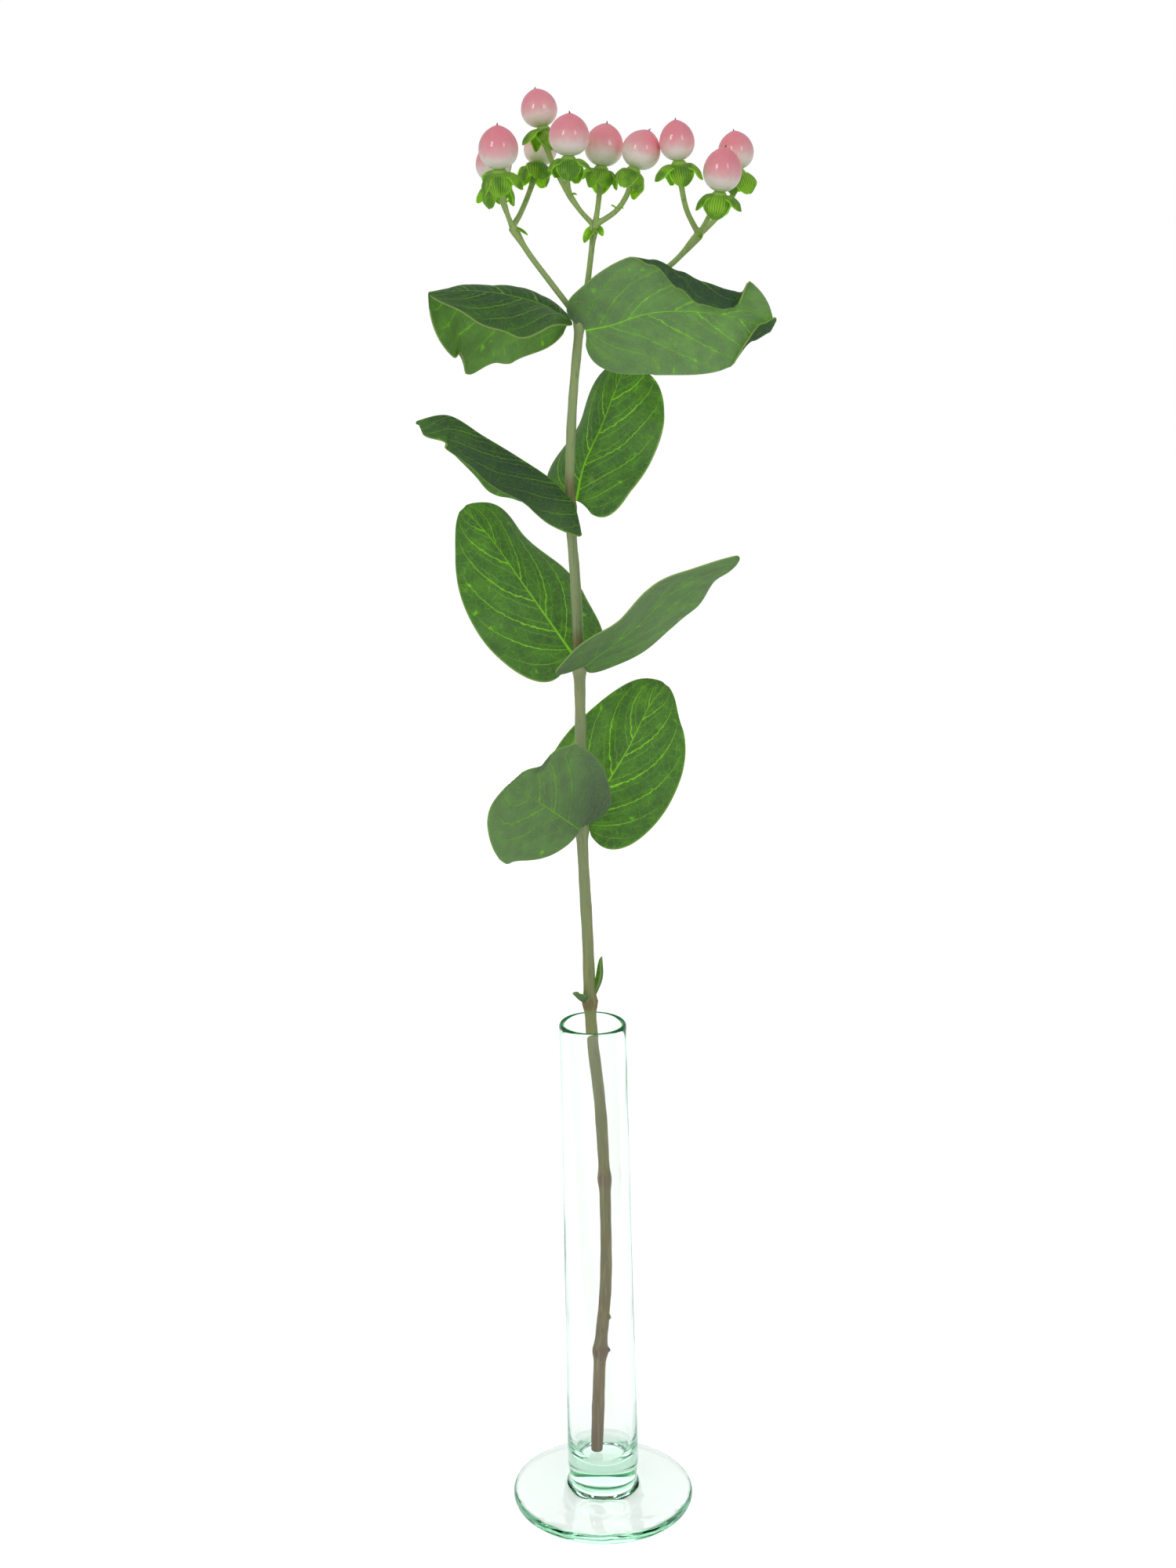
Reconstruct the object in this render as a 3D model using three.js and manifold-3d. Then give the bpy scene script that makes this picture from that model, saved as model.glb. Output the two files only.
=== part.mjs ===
// A cut stem of hypericum in fruit, standing in a hand-blown glass stem vase.
// Millimetres, +Z up. The origin is the centre of the vase's flat underside, and the front of the
// arrangement faces -Y. Run with Node: the default export is a THREE.Group of named meshes.
import * as THREE from "three";
import { mergeVertices } from "three/addons/utils/BufferGeometryUtils.js";
import Module from "manifold-3d";

const wasm = await Module();
wasm.setup();

// ---------------------------------------------------------------- driving dimensions

/** Gap that pieces which touch keep between their faceted surfaces. */
const CLEARANCE = 0.3;

/** The vase: one piece of glass, a thick disc foot and a slightly tapered, leaning tube. */
const VASE = {
  height: 200,
  footRadius: 35.6,
  footEdge: 4, // thickness of the foot at its rounded edge
  footRise: 3.2, // how far the foot's top climbs from its edge to the tube
  tubeRadius: 13.9, // widest, just above the solid base
  rimRadius: 12.65,
  wall: 2,
  floor: 18, // height of the inner floor above the table
  lean: 4.2, // how far the rim's centre stands to the left of the foot's centre
  segments: 26,
};

/** Points that the main stem passes, from the cut end in the vase to the top pair of leaves. */
const STEM_LINE = [
  [-2.6, 0.6, 19.4],
  [-2.0, 0.9, 38],
  [-1.1, 1.6, 63],
  [0.9, 4, 89],
  [1.0, 5.5, 113],
  [0.5, 6.5, 133.5],
  [-1.5, 7.4, 166.5],
  [-4.7, 8.1, 195],
  [-6.1, 8.1, 230],
  [-8.3, 8, 274],
  [-9.1, 8, 332],
  [-10.6, 7, 366.6],
  [-12.4, 6, 393.6],
  [-11.6, 5, 427],
  [-8.7, 3, 459.4],
];
const STEM_RADIUS = { cut: 2.55, waist: 2.35, middle: 2.1, top: 1.65 };
const STEM_SIDES = 8;
const STEM_STEPS = 31;

/** Nodes of the stem: height, how far the swelling stands out, and half its length. */
const STEM_NODES = [
  { z: 63, proud: 0.75, half: 4 },
  { z: 133.5, proud: 0.6, half: 5 },
  { z: 205, proud: 0.8, half: 4 },
  { z: 273, proud: 0.7, half: 4 },
  { z: 334, proud: 0.7, half: 4 },
  { z: 392.5, proud: 0.7, half: 4 },
  { z: 458, proud: 0.8, half: 3.5 },
];

/** Short stubs left where side shoots broke off: their height, heading and length. */
const SCAR_STUBS = [
  { z: 62, heading: -10, length: 4.4 },
  { z: 76, heading: -20, length: 3.4 },
  { z: 204.5, heading: -30, length: 3.6 },
  { z: 134, heading: 200, length: 3.2 },
];
const STUB_RADIUS = 1.0;

/** Three stalks rise from the top node, and each ends at a fork. */
const STALK_RADIUS = { foot: 1.25, fork: 1.0 };
const STALKS = [
  { line: [[-9, 3, 457.5], [-11.5, 1.6, 461.6], [-18.6, -1.2, 471], [-26.2, -3.4, 481],
    [-31.8, -5, 489.9]] },
  { line: [[-8.7, 3, 457.5], [-6.5, 3, 468.7], [-4.5, 2, 484.5], [-3.8, 2, 490.3]] },
  { line: [[-8.4, 3.5, 457.5], [-3, 6, 462], [7.7, 8, 466.4], [23.6, 8, 477.8], [32.4, 6, 487.2]] },
];
const FORKS = { left: [-31.8, -5, 489.9], centre: [-3.8, 2, 490.3], right: [32.4, 6, 487.2] };
const SIDE_FORKS = { left: [-34.4, -8, 497.2], centre: [-12.3, -2, 500.3] };
const BRANCHES = [
  { line: [FORKS.left, [-33.2, -6.6, 493.6], SIDE_FORKS.left] },
  { line: [FORKS.centre, [-8.4, -0.4, 495], SIDE_FORKS.centre] },
];
const BRANCH_RADIUS = 0.95;

/**
 * The ten fruits. `foot` is the point where the berry stands on its calyx, `top` its upper pole,
 * `width` its diameter, `via` the points between the fork and the end of its pedicel, and `turn`
 * the heading of its first sepal in degrees.
 */
const FRUITS = [
  { foot: [-21.5, 3, 522.8], top: [-24, 4.8, 535.1], width: 12.4, from: SIDE_FORKS.centre,
    via: [[-16.9, 1, 508.5], [-20.2, 2.6, 516.5]], turn: -70 },
  { foot: [-35.7, -14.3, 508.6], top: [-36.1, -16.9, 522.3], width: 13.3, from: SIDE_FORKS.left,
    via: [[-35.4, -11.6, 502]], turn: -90 },
  { foot: [-23.3, 13.4, 511.2], top: [-21.6, 19.4, 521.6], width: 11.6, from: FORKS.left,
    via: [[-29.6, -0.5, 493.5], [-26.6, 7.4, 500.6]], turn: -75 },
  { foot: [-37.4, 0.4, 504.8], top: [-39.2, 3, 517.2], width: 12.4, from: SIDE_FORKS.left,
    via: [[-35.9, -4, 499.6]], turn: 10 },
  { foot: [-12.5, -12, 512.8], top: [-12.1, -12.2, 526.4], width: 13.8, from: SIDE_FORKS.centre,
    via: [[-12.9, -7, 504.4]], turn: -88 },
  { foot: [-1.4, 7, 510], top: [0.4, 8.6, 524], width: 13.4, from: FORKS.centre,
    via: [[-3, 3.4, 494], [-2.1, 5.4, 501]], turn: -60 },
  { foot: [9.8, -1, 509.2], top: [14.6, 0.6, 521.4], width: 13.2, from: FORKS.centre,
    via: [[4, 2, 495.6], [7.8, 1, 501.6]], turn: -35 },
  { foot: [24.7, -3, 511.6], top: [23.4, -4.4, 524.6], width: 11.9, from: FORKS.right,
    via: [[27.9, 1.6, 495.4], [25.9, -1.6, 503]], turn: -80 },
  { foot: [38.6, -7, 501.4], top: [40.2, -8.6, 515.6], width: 13.2, from: FORKS.right,
    via: [[34.6, 1, 491.6], [36.4, -3.4, 495.4]], turn: -100 },
  { foot: [46, 13.8, 509], top: [44.4, 14.6, 521.8], width: 12.5, from: FORKS.right,
    via: [[39, 9.6, 493.4], [44, 12.6, 500]], turn: -60 },
];
const PEDICEL_RADIUS = { fork: 1, end: 1.15 };
const SEPALS = { count: 5, length: 9, halfWidth: 3.9, frontBreadth: 1.18, sideBreadth: 0.95 };
const RECEPTACLE = { radius: 2.5, half: 1.5 };

/** Tiny bracts and spurs at the forks: where they stand, which way each points, and their size. */
const BRACTS = [
  { at: FORKS.centre, heading: [-0.5, -0.4, -0.8], length: 7.4, halfWidth: 1.9 },
  { at: FORKS.centre, heading: [0.6, -0.4, -0.7], length: 5, halfWidth: 1.7 },
  { at: FORKS.left, heading: [0.9, -0.35, -0.45], length: 6.5, halfWidth: 0.9 },
  { at: FORKS.right, heading: [0.1, -0.9, -0.4], length: 3.6, halfWidth: 1.2 },
  { at: SIDE_FORKS.left, heading: [0.7, -0.5, 0.5], length: 2.6, halfWidth: 0.7 },
  { at: SIDE_FORKS.centre, heading: [0.9, -0.4, 0.1], length: 3, halfWidth: 0.7 },
  { at: [4, 2, 495.6], heading: [-0.7, -0.5, 0.5], length: 3.2, halfWidth: 0.7 },
  { at: [4, 2, 495.6], heading: [0.8, -0.5, 0.2], length: 2.8, halfWidth: 0.7 },
];
const BRACT_HALF_THICKNESS = 0.5;

/**
 * The leaves. `rib` is the line of the midrib from its clasping foot to its tip; `face` the way
 * the upper side looks, at even steps along the rib. Each half has its widest half-width, `wide`
 * (1 puts the widest place at half the length, less puts it nearer the foot), `blunt` (less makes
 * the outline squarer at its ends), `lobe` (how far the foot's lobe reaches back round the stem),
 * and its cross-section in degrees, again at even steps along the rib: `lift` at the midrib, and
 * `curl` added by the time it reaches the margin. Each of its `folds` turns the half over beyond a
 * crease `at`, which is given at even steps from `from` to `to`.
 */
const LEAVES = {
  leaf_1_left: {
    rib: [[-9.2, 4, 274.2], [-14.9, -2, 280], [-20.4, -11, 286.4], [-25.3, -20, 292.2], [-29.3, -28, 297.4],
      [-31.5, -30, 302.5]],
    face: [[-0.74, 0.65, 0.29]],
    left: { half: 25.5, wide: 0.88, blunt: 0.45, lobe: 0.9, lift: [0], curl: [0] },
    right: { half: 25, wide: 1.4, blunt: 0.42, lobe: 0.3, lift: [0], curl: [0] },
  },
  leaf_1_right: {
    rib: [[-7.2, 10, 274.4], [-1.6, 16, 284], [8.7, 22, 300], [17.1, 24, 316.7], [23.1, 22, 325.2]],
    face: [[-0.2, -1, 0.3], [0, -1, 0.2], [0, -1, 0.1]],
    left: { half: 24, wide: 0.7, lobe: 0.8, lift: [0, -8, -10], curl: [-8, -16, -30] },
    right: { half: 24, wide: 0.75, lobe: 0.8, lift: [0], curl: [0] },
  },
  leaf_2_left: {
    rib: [[-12, 9.5, 339.4], [-19.2, 14, 349], [-29.8, 20, 363.1], [-42.9, 22, 381.3], [-51.6, 20, 391]],
    face: [[0.2, -1, 0.3], [0, -1, 0.2], [0, -1, 0.1]],
    left: { half: 24, wide: 0.75, lobe: 0.8, lift: [0], curl: [0] },
    right: { half: 22, wide: 0.75, lobe: 0.8, lift: [-15, -25, -35, -10], curl: [-10, -25, -40, -20] },
  },
  leaf_2_right: {
    rib: [[-7.4, 4, 335.6], [2.2, -2, 344.2], [12.1, -8, 353.3], [28.5, -17, 370.7], [45.9, -24, 380]],
    face: [[-0.4, 0.55, 0.7]],
    left: { half: 22, wide: 0.75, lobe: 0.8, lift: [0], curl: [5, 5, 0] },
    right: { half: 21, wide: 0.75, lobe: 1, lift: [-2, -7, -12], curl: [-5, -8, 0] },
  },
  leaf_3_left: {
    rib: [[-11, 2, 394.9], [-18.7, -3, 403.5], [-29.7, -10, 411.9], [-41.8, -18, 420.2],
      [-54, -23.5, 427.8], [-64, -27, 426]],
    face: [[0.5, -0.1, 0.8], [-0.1, -0.4, 1], [0, -0.4, 1]],
    left: { half: 15, wide: 0.42, blunt: 0.2, lobe: 0.5,
      lift: [-10, -20, -20, -20, -20], curl: [-30, -90, -110, -70, -10] },
    right: { half: 16, wide: 0.6, blunt: 0.4, lobe: 0.3,
      lift: [-30, -45, -65, -40, -15], curl: [-20, -50, -50, -50, -60] },
  },
  leaf_3_right: {
    rib: [[-10.2, 8.5, 394.8], [-7.4, 14, 406.9], [-0.9, 18, 421], [3.6, 20, 432.5], [8, 20, 443]],
    face: [[-0.2, -1, 0.3], [0, -1, 0.2], [0, -1, 0.1]],
    left: { half: 21, wide: 0.75, lobe: 0.5, lift: [-10, -35, -30], curl: [-30, -60, -30] },
    right: { half: 22, wide: 1, blunt: 0.28, lobe: 0.65, lift: [0, 5, 0], curl: [15, 15, 0] },
  },
  leaf_4_left: {
    rib: [[-12.2, 5.2, 457.8], [-22, 3, 463.6], [-35, 0, 467.2], [-48, -4, 468.6],
      [-60.5, -7, 468]],
    face: [[-0.1, -0.1, 1], [0, -0.1, 1], [0.2, -0.2, 1]],
    left: { half: 21, wide: 0.64, lobe: 0, lift: [15, -30, -20], curl: [-40, -15, 0] },
    right: { half: 43, wide: 0.92, blunt: 0.42, lobe: 0.1,
      lift: [45, 40, 25, 0], curl: [-60, -50, -45, -40],
      folds: [
        { at: [0], over: 0.4, angle: -80, from: -1, to: 2, soft: 0.5 },
        { at: [0.9, 0.85, 0.84, 0.92], over: 0.12, angle: -110, from: 0.58, to: 0.84, soft: 0.14 },
      ] },
  },
  leaf_4_right: {
    rib: [[-7, 2, 455], [2, -3, 457], [14, -7, 461], [28, -9, 462], [44, -10, 460], [57, -7, 455.5]],
    face: [[0, 1, 0.1]],
    left: { half: 21.8, wide: 1, blunt: 0.34, lobe: 0.3, lift: [0], curl: [0, -10, -20],
      folds: [{ at: [1, 0.35, 0, 0], over: 0.15, angle: -150, from: 0.84, to: 1.1, soft: 0.03 }] },
    right: { half: 20.6, wide: 0.78, blunt: 0.55, lobe: 0.65,
      lift: [-10, 0, 0], curl: [-35, -10, -20],
      folds: [{ at: [1, 0.82, 0.62, 0.5, 0.48, 0.55], over: 0.15, angle: -165, from: 0.33, to: 0.81,
        soft: 0.03 }] },
  },
  leaf_0_left: {
    rib: [[-7.6, 6.6, 205.5], [-9.4, 4.4, 207.6], [-11.6, 2.8, 210.5]],
    face: [[0, 0, 1]],
    left: { half: 3.2, wide: 0.75, lobe: 0, lift: [35], curl: [30] },
    right: { half: 3.2, wide: 0.75, lobe: 0, lift: [35], curl: [30] },
    cells: [4, 1],
  },
  leaf_0_right: {
    rib: [[-3.4, 9, 207], [-0.6, 10.5, 214], [-0.8, 10.6, 222.5]],
    face: [[-1, -0.3, 0.2]],
    left: { half: 3, wide: 0.85, lobe: 0, lift: [25], curl: [25] },
    right: { half: 3, wide: 0.85, lobe: 0, lift: [25], curl: [25] },
    cells: [5, 1],
  },
};
const LEAF_THICKNESS = 0.8;
const LEAF_CELLS = [12, 3]; // along the rib, and from the midrib to each margin
const FOLDED_CELLS = [15, 5];
const LEAF_ENDS = [0.004, 0.99]; // the blade stops just short of both ends of its rib

// ---------------------------------------------------------------- materials

const glass = new THREE.MeshStandardMaterial({ color: 0xd9efe2, roughness: 0.05, metalness: 0 });
const bark = new THREE.MeshStandardMaterial({ color: 0x8f9a68, roughness: 0.7, metalness: 0 });
const leafGreen = new THREE.MeshStandardMaterial({ color: 0x3f7a2c, roughness: 0.5, metalness: 0 });
const sepalGreen = new THREE.MeshStandardMaterial({ color: 0x6fae2f, roughness: 0.5, metalness: 0 });
const berryPink = new THREE.MeshStandardMaterial({ color: 0xef8a94, roughness: 0.2, metalness: 0 });

// ---------------------------------------------------------------- helpers

const vector = (point) => new THREE.Vector3(...point);
const radians = THREE.MathUtils.degToRad;
const curveThrough = (points) => new THREE.CatmullRomCurve3(points.map(vector), false, "centripetal");

/** Smooth run through evenly spaced values, at a fraction from 0 to 1. */
function blend(values, fraction) {
  if (values.length === 1) return values[0];
  const place = fraction * (values.length - 1);
  const first = Math.min(Math.floor(place), values.length - 2);
  const part = THREE.MathUtils.smoothstep(place - first, 0, 1);
  const [a, b] = [values[first], values[first + 1]];
  if (typeof a === "number") return THREE.MathUtils.lerp(a, b, part);
  return a.map((value, axis) => THREE.MathUtils.lerp(value, b[axis], part));
}

/** A closed geometry with merged vertices, as a solid for joining and cutting. */
function solidOf(geometry) {
  const bare = new THREE.BufferGeometry();
  bare.setAttribute("position", geometry.getAttribute("position"));
  bare.setIndex(geometry.getIndex());
  const merged = mergeVertices(bare, 1e-4);
  const vertProperties = new Float32Array(merged.getAttribute("position").array);
  const triVerts = new Uint32Array(merged.getIndex().array);
  return new wasm.Manifold(new wasm.Mesh({ numProp: 3, vertProperties, triVerts }));
}

/** The largest body of a solid, as a geometry. */
function geometryOf(solid) {
  const bodies = solid.decompose();
  const largest = bodies.reduce((a, b) => (b.volume() > a.volume() ? b : a));
  const { vertProperties, triVerts } = largest.getMesh();
  const geometry = new THREE.BufferGeometry();
  geometry.setAttribute("position", new THREE.BufferAttribute(new Float32Array(vertProperties), 3));
  geometry.setIndex(new THREE.BufferAttribute(new Uint32Array(triVerts), 1));
  geometry.computeVertexNormals();
  return geometry;
}

const joined = (solids) => solids.reduce((sum, solid) => sum.add(solid));

/** A cylinder bent onto a curve, with a radius that changes along it. */
function tube(curve, radiusAt, sides, steps) {
  const geometry = new THREE.CylinderGeometry(1, 1, 1, sides, steps);
  const frames = curve.computeFrenetFrames(steps, false);
  const place = geometry.getAttribute("position");
  for (let i = 0; i < place.count; i += 1) {
    const along = place.getY(i) + 0.5;
    const ring = Math.round(along * steps);
    const radius = radiusAt(along);
    const point = curve.getPointAt(along);
    point.addScaledVector(frames.normals[ring], place.getX(i) * radius);
    point.addScaledVector(frames.binormals[ring], -place.getZ(i) * radius);
    place.setXYZ(i, point.x, point.y, point.z);
  }
  return geometry;
}

/** An egg-shaped bead with its long axis along `axis`. */
function bead(centre, radius, half, axis, sides = 7, rows = 3) {
  const geometry = new THREE.SphereGeometry(1, sides, rows);
  geometry.scale(radius, half, radius);
  geometry.applyQuaternion(new THREE.Quaternion().setFromUnitVectors(new THREE.Vector3(0, 1, 0), axis));
  geometry.translate(centre.x, centre.y, centre.z);
  return geometry;
}

// ---------------------------------------------------------------- vase

/** Half the vase's section, from the axis under the foot, round the rim, to the axis inside. */
function vaseProfile() {
  const { height, footRadius, footEdge, footRise, tubeRadius, rimRadius, wall, floor } = VASE;
  const outer = [
    [0, 0], [footRadius - 1.8, 0], [footRadius - 0.5, 0.6], [footRadius, 2],
    [footRadius - 0.6, footEdge - 0.7], [footRadius - 2, footEdge],
    [tubeRadius + 4, footEdge + footRise * 0.6], [tubeRadius, footEdge + footRise],
    [tubeRadius - 0.7, footEdge + footRise + 2], [tubeRadius, floor - 4], [tubeRadius, floor + 4],
    [tubeRadius - 0.5, floor + 30], [rimRadius + 0.3, height - 60], [rimRadius, height - 3],
    [rimRadius, height - 0.8], [rimRadius - 0.8, height],
  ];
  const inner = [
    [rimRadius - wall + 0.6, height - 0.2], [rimRadius - wall, height - 1.4],
    [rimRadius + 0.3 - wall, height - 60], [tubeRadius - 0.5 - wall, floor + 30],
    [tubeRadius - 0.3 - wall, floor + 7], [tubeRadius - 1.6 - wall, floor + 2.5],
    [tubeRadius - 4.5 - wall, floor + 0.5], [0, floor],
  ];
  return [...outer, ...inner].map(([radius, z]) => new THREE.Vector2(radius, z));
}

function vaseGeometry() {
  const geometry = new THREE.LatheGeometry(vaseProfile(), VASE.segments);
  geometry.rotateX(Math.PI / 2);
  const place = geometry.getAttribute("position");
  for (let i = 0; i < place.count; i += 1) {
    const above = Math.max(0, place.getZ(i) - VASE.floor) / (VASE.height - VASE.floor);
    place.setX(i, place.getX(i) - VASE.lean * above);
  }
  return geometry;
}

// ---------------------------------------------------------------- stem

const stemCurve = curveThrough(STEM_LINE);

/** The point of the main stem at a height, and the stem's radius there. */
function stemAt(z) {
  let [low, high] = [0, 1];
  for (let i = 0; i < 30; i += 1) {
    const middle = (low + high) / 2;
    if (stemCurve.getPointAt(middle).z < z) low = middle;
    else high = middle;
  }
  return { point: stemCurve.getPointAt(low), tangent: stemCurve.getTangentAt(low), radius: stemRadius(low) };
}

function stemRadius(along) {
  return blend([STEM_RADIUS.cut, STEM_RADIUS.waist, STEM_RADIUS.middle, STEM_RADIUS.top], along);
}

/** Direction from the berry's foot to its upper pole. */
const fruitAxis = (fruit) => vector(fruit.top).sub(vector(fruit.foot)).normalize();

/** The end of a fruit's pedicel, a little below the receptacle of its calyx. */
const pedicelEnd = (fruit) => vector(fruit.foot).addScaledVector(fruitAxis(fruit), -RECEPTACLE.half - 0.7);

/** A tiny blunt bract, a flattened bead laid along its heading. */
function bract({ at, heading, length, halfWidth }, grow) {
  const geometry = new THREE.SphereGeometry(1, 6, 3);
  geometry.scale(halfWidth + grow, length / 2 + grow, BRACT_HALF_THICKNESS + grow);
  geometry.translate(0, length / 2 - 0.3, 0);
  const axis = vector(heading).normalize();
  geometry.applyQuaternion(new THREE.Quaternion().setFromUnitVectors(new THREE.Vector3(0, 1, 0), axis));
  geometry.translate(...at);
  return geometry;
}

/** Every part of the grown stem: main axis, nodes, stubs, stalks, pedicels and bracts. */
function stemSolid(grow = 0) {
  const parts = [tube(stemCurve, (along) => stemRadius(along) + grow, STEM_SIDES, STEM_STEPS)];
  for (const { z, proud, half } of STEM_NODES) {
    const { point, tangent, radius } = stemAt(z);
    parts.push(bead(point, radius + proud + grow, half + grow, tangent));
  }
  for (const { z, heading, length } of SCAR_STUBS) {
    const { point } = stemAt(z);
    const axis = new THREE.Vector3(Math.cos(radians(heading)), Math.sin(radians(heading)), 0.5).normalize();
    const middle = point.clone().addScaledVector(axis, length / 2);
    parts.push(bead(middle, STUB_RADIUS + grow, length / 2 + grow, axis));
  }
  const { foot, fork } = STALK_RADIUS;
  for (const { line } of STALKS) {
    const curve = curveThrough(line);
    parts.push(tube(curve, (along) => THREE.MathUtils.lerp(foot, fork, along) + grow, 6, 6));
    parts.push(bead(curve.getPoint(1), fork + 0.7 + grow, 2 + grow, curve.getTangent(1)));
  }
  for (const { line } of BRANCHES) {
    parts.push(tube(curveThrough(line), () => BRANCH_RADIUS + grow, 6, 4));
  }
  for (const fruit of FRUITS) {
    const end = pedicelEnd(fruit);
    const curve = curveThrough([fruit.from, ...fruit.via, end.toArray()]);
    const { fork: slim, end: stout } = PEDICEL_RADIUS;
    parts.push(tube(curve, (along) => THREE.MathUtils.lerp(slim, stout, along) + grow, 5, 4));
    parts.push(bead(end, stout + 0.15 + grow, stout + 0.15 + grow, fruitAxis(fruit), 6, 3));
  }
  for (const point of Object.values(SIDE_FORKS)) {
    const radius = PEDICEL_RADIUS.fork + 0.35 + grow;
    parts.push(bead(vector(point), radius, 1.4 + grow, new THREE.Vector3(0, 0, 1)));
  }
  parts.push(...BRACTS.map((item) => bract(item, grow)));
  return joined(parts.map(solidOf));
}

// ---------------------------------------------------------------- leaves and sepals

/** Outline of a leaf: the half-width at a fraction of its length, 1 where it is widest. */
const outline = (fraction, { wide, blunt = 0.6 }) => Math.sin(Math.PI * fraction ** wide) ** blunt;

/** How strongly a fold acts at a fraction of the length: 0 outside it, 1 inside, soft at its ends. */
function foldStrength(fold, fraction) {
  const { smoothstep } = THREE.MathUtils;
  const begun = smoothstep(fraction, fold.from, fold.from + fold.soft);
  return begun * smoothstep(fold.to - fraction, 0, fold.soft);
}

/** Where a fold's crease runs, in half-widths from the midrib, at a fraction of the leaf's length. */
function creaseOf(fold, fraction) {
  return blend(fold.at, THREE.MathUtils.clamp((fraction - fold.from) / (fold.to - fold.from), 0, 1));
}

/** The cross-section of one half of a leaf: points from the midrib to the margin, in half-widths. */
function crossSection(half, fraction, cells) {
  const STEPS_PER_CELL = 8;
  const lift = blend(half.lift, fraction);
  const curl = blend(half.curl, fraction);
  const creases = (half.folds || []).map((fold) => ({
    start: creaseOf(fold, fraction),
    end: creaseOf(fold, fraction) + fold.over,
    angle: fold.angle * foldStrength(fold, fraction),
  }));
  const points = [[0, 0]];
  let [out, up] = [0, 0];
  for (let step = 0; step < cells * STEPS_PER_CELL; step += 1) {
    const across = (step + 0.5) / (cells * STEPS_PER_CELL);
    const turned = creases.reduce((sum, crease) => (
      sum + crease.angle * THREE.MathUtils.smoothstep(across, crease.start, crease.end)), 0);
    const angle = radians(lift + curl * across + turned);
    out += Math.cos(angle) / (cells * STEPS_PER_CELL);
    up += Math.sin(angle) / (cells * STEPS_PER_CELL);
    if ((step + 1) % STEPS_PER_CELL === 0) points.push([out, up]);
  }
  return points;
}

/** One row of a blade's middle surface, from its left margin over the midrib to its right margin. */
function bladeRow(leaf, curve, fraction, cells) {
  const point = curve.getPointAt(fraction);
  const tangent = curve.getTangentAt(fraction);
  const up = vector(blend(leaf.face, fraction));
  up.addScaledVector(tangent, -up.dot(tangent)).normalize();
  const sideways = new THREE.Vector3().crossVectors(tangent, up);
  const halfRow = (half, sign) => {
    const width = half.half * outline(fraction, half);
    return crossSection(half, fraction, cells).map(([out, rise], cell) => {
      const back = half.lobe * width * (cell / cells) ** 1.6 * (1 - fraction) ** 4;
      return point.clone()
        .addScaledVector(sideways, sign * out * width)
        .addScaledVector(up, rise * width)
        .addScaledVector(tangent, -back);
    });
  };
  return [...halfRow(leaf.left, -1).reverse(), ...halfRow(leaf.right, 1).slice(1)];
}

/** A thin closed blade: two faces with the same triangles, and an edge between them. */
function bladeGeometry(leaf, thickness, cells) {
  const curve = curveThrough(leaf.rib);
  const [rows, halfCells] = cells;
  const columns = halfCells * 2;
  const grid = [];
  for (let row = 0; row <= rows; row += 1) {
    const eased = (1 - Math.cos((Math.PI * row) / rows)) / 2;
    grid.push(bladeRow(leaf, curve, THREE.MathUtils.lerp(...LEAF_ENDS, eased), halfCells));
  }
  const { clamp } = THREE.MathUtils;
  const at = (row, column) => grid[clamp(row, 0, rows)][clamp(column, 0, columns)];
  const points = [];
  for (const side of [1, -1]) {
    for (let row = 0; row <= rows; row += 1) {
      for (let column = 0; column <= columns; column += 1) {
        const alongRib = at(row + 1, column).clone().sub(at(row - 1, column));
        const across = at(row, column + 1).clone().sub(at(row, column - 1));
        const normal = across.cross(alongRib).normalize();
        const point = at(row, column).clone().addScaledVector(normal, (side * thickness) / 2);
        points.push(point.x, point.y, point.z);
      }
    }
  }
  const geometry = new THREE.BufferGeometry();
  geometry.setAttribute("position", new THREE.Float32BufferAttribute(points, 3));
  geometry.setIndex(bladeIndex(rows, columns));
  return geometry;
}

/** Triangles of a blade: its upper face, the same face turned over, and the strip round the edge. */
function bladeIndex(rows, columns) {
  const top = (row, column) => row * (columns + 1) + column;
  const under = (row, column) => (rows + 1) * (columns + 1) + top(row, column);
  const index = [];
  for (let row = 0; row < rows; row += 1) {
    for (let column = 0; column < columns; column += 1) {
      const corners = [[row, column], [row, column + 1], [row + 1, column + 1], [row + 1, column]];
      const [a, b, c, d] = corners.map(([i, j]) => top(i, j));
      const [e, f, g, h] = corners.map(([i, j]) => under(i, j));
      index.push(a, b, c, a, c, d, e, g, f, e, h, g);
    }
  }
  const edge = [];
  for (let column = 0; column < columns; column += 1) edge.push([0, column]);
  for (let row = 0; row < rows; row += 1) edge.push([row, columns]);
  for (let column = columns; column > 0; column -= 1) edge.push([rows, column]);
  for (let row = rows; row > 0; row -= 1) edge.push([row, 0]);
  edge.forEach(([row, column], i) => {
    const [nextRow, nextColumn] = edge[(i + 1) % edge.length];
    const [a, b] = [top(row, column), top(nextRow, nextColumn)];
    const [c, d] = [under(row, column), under(nextRow, nextColumn)];
    index.push(a, c, b, b, c, d);
  });
  return index;
}

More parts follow.
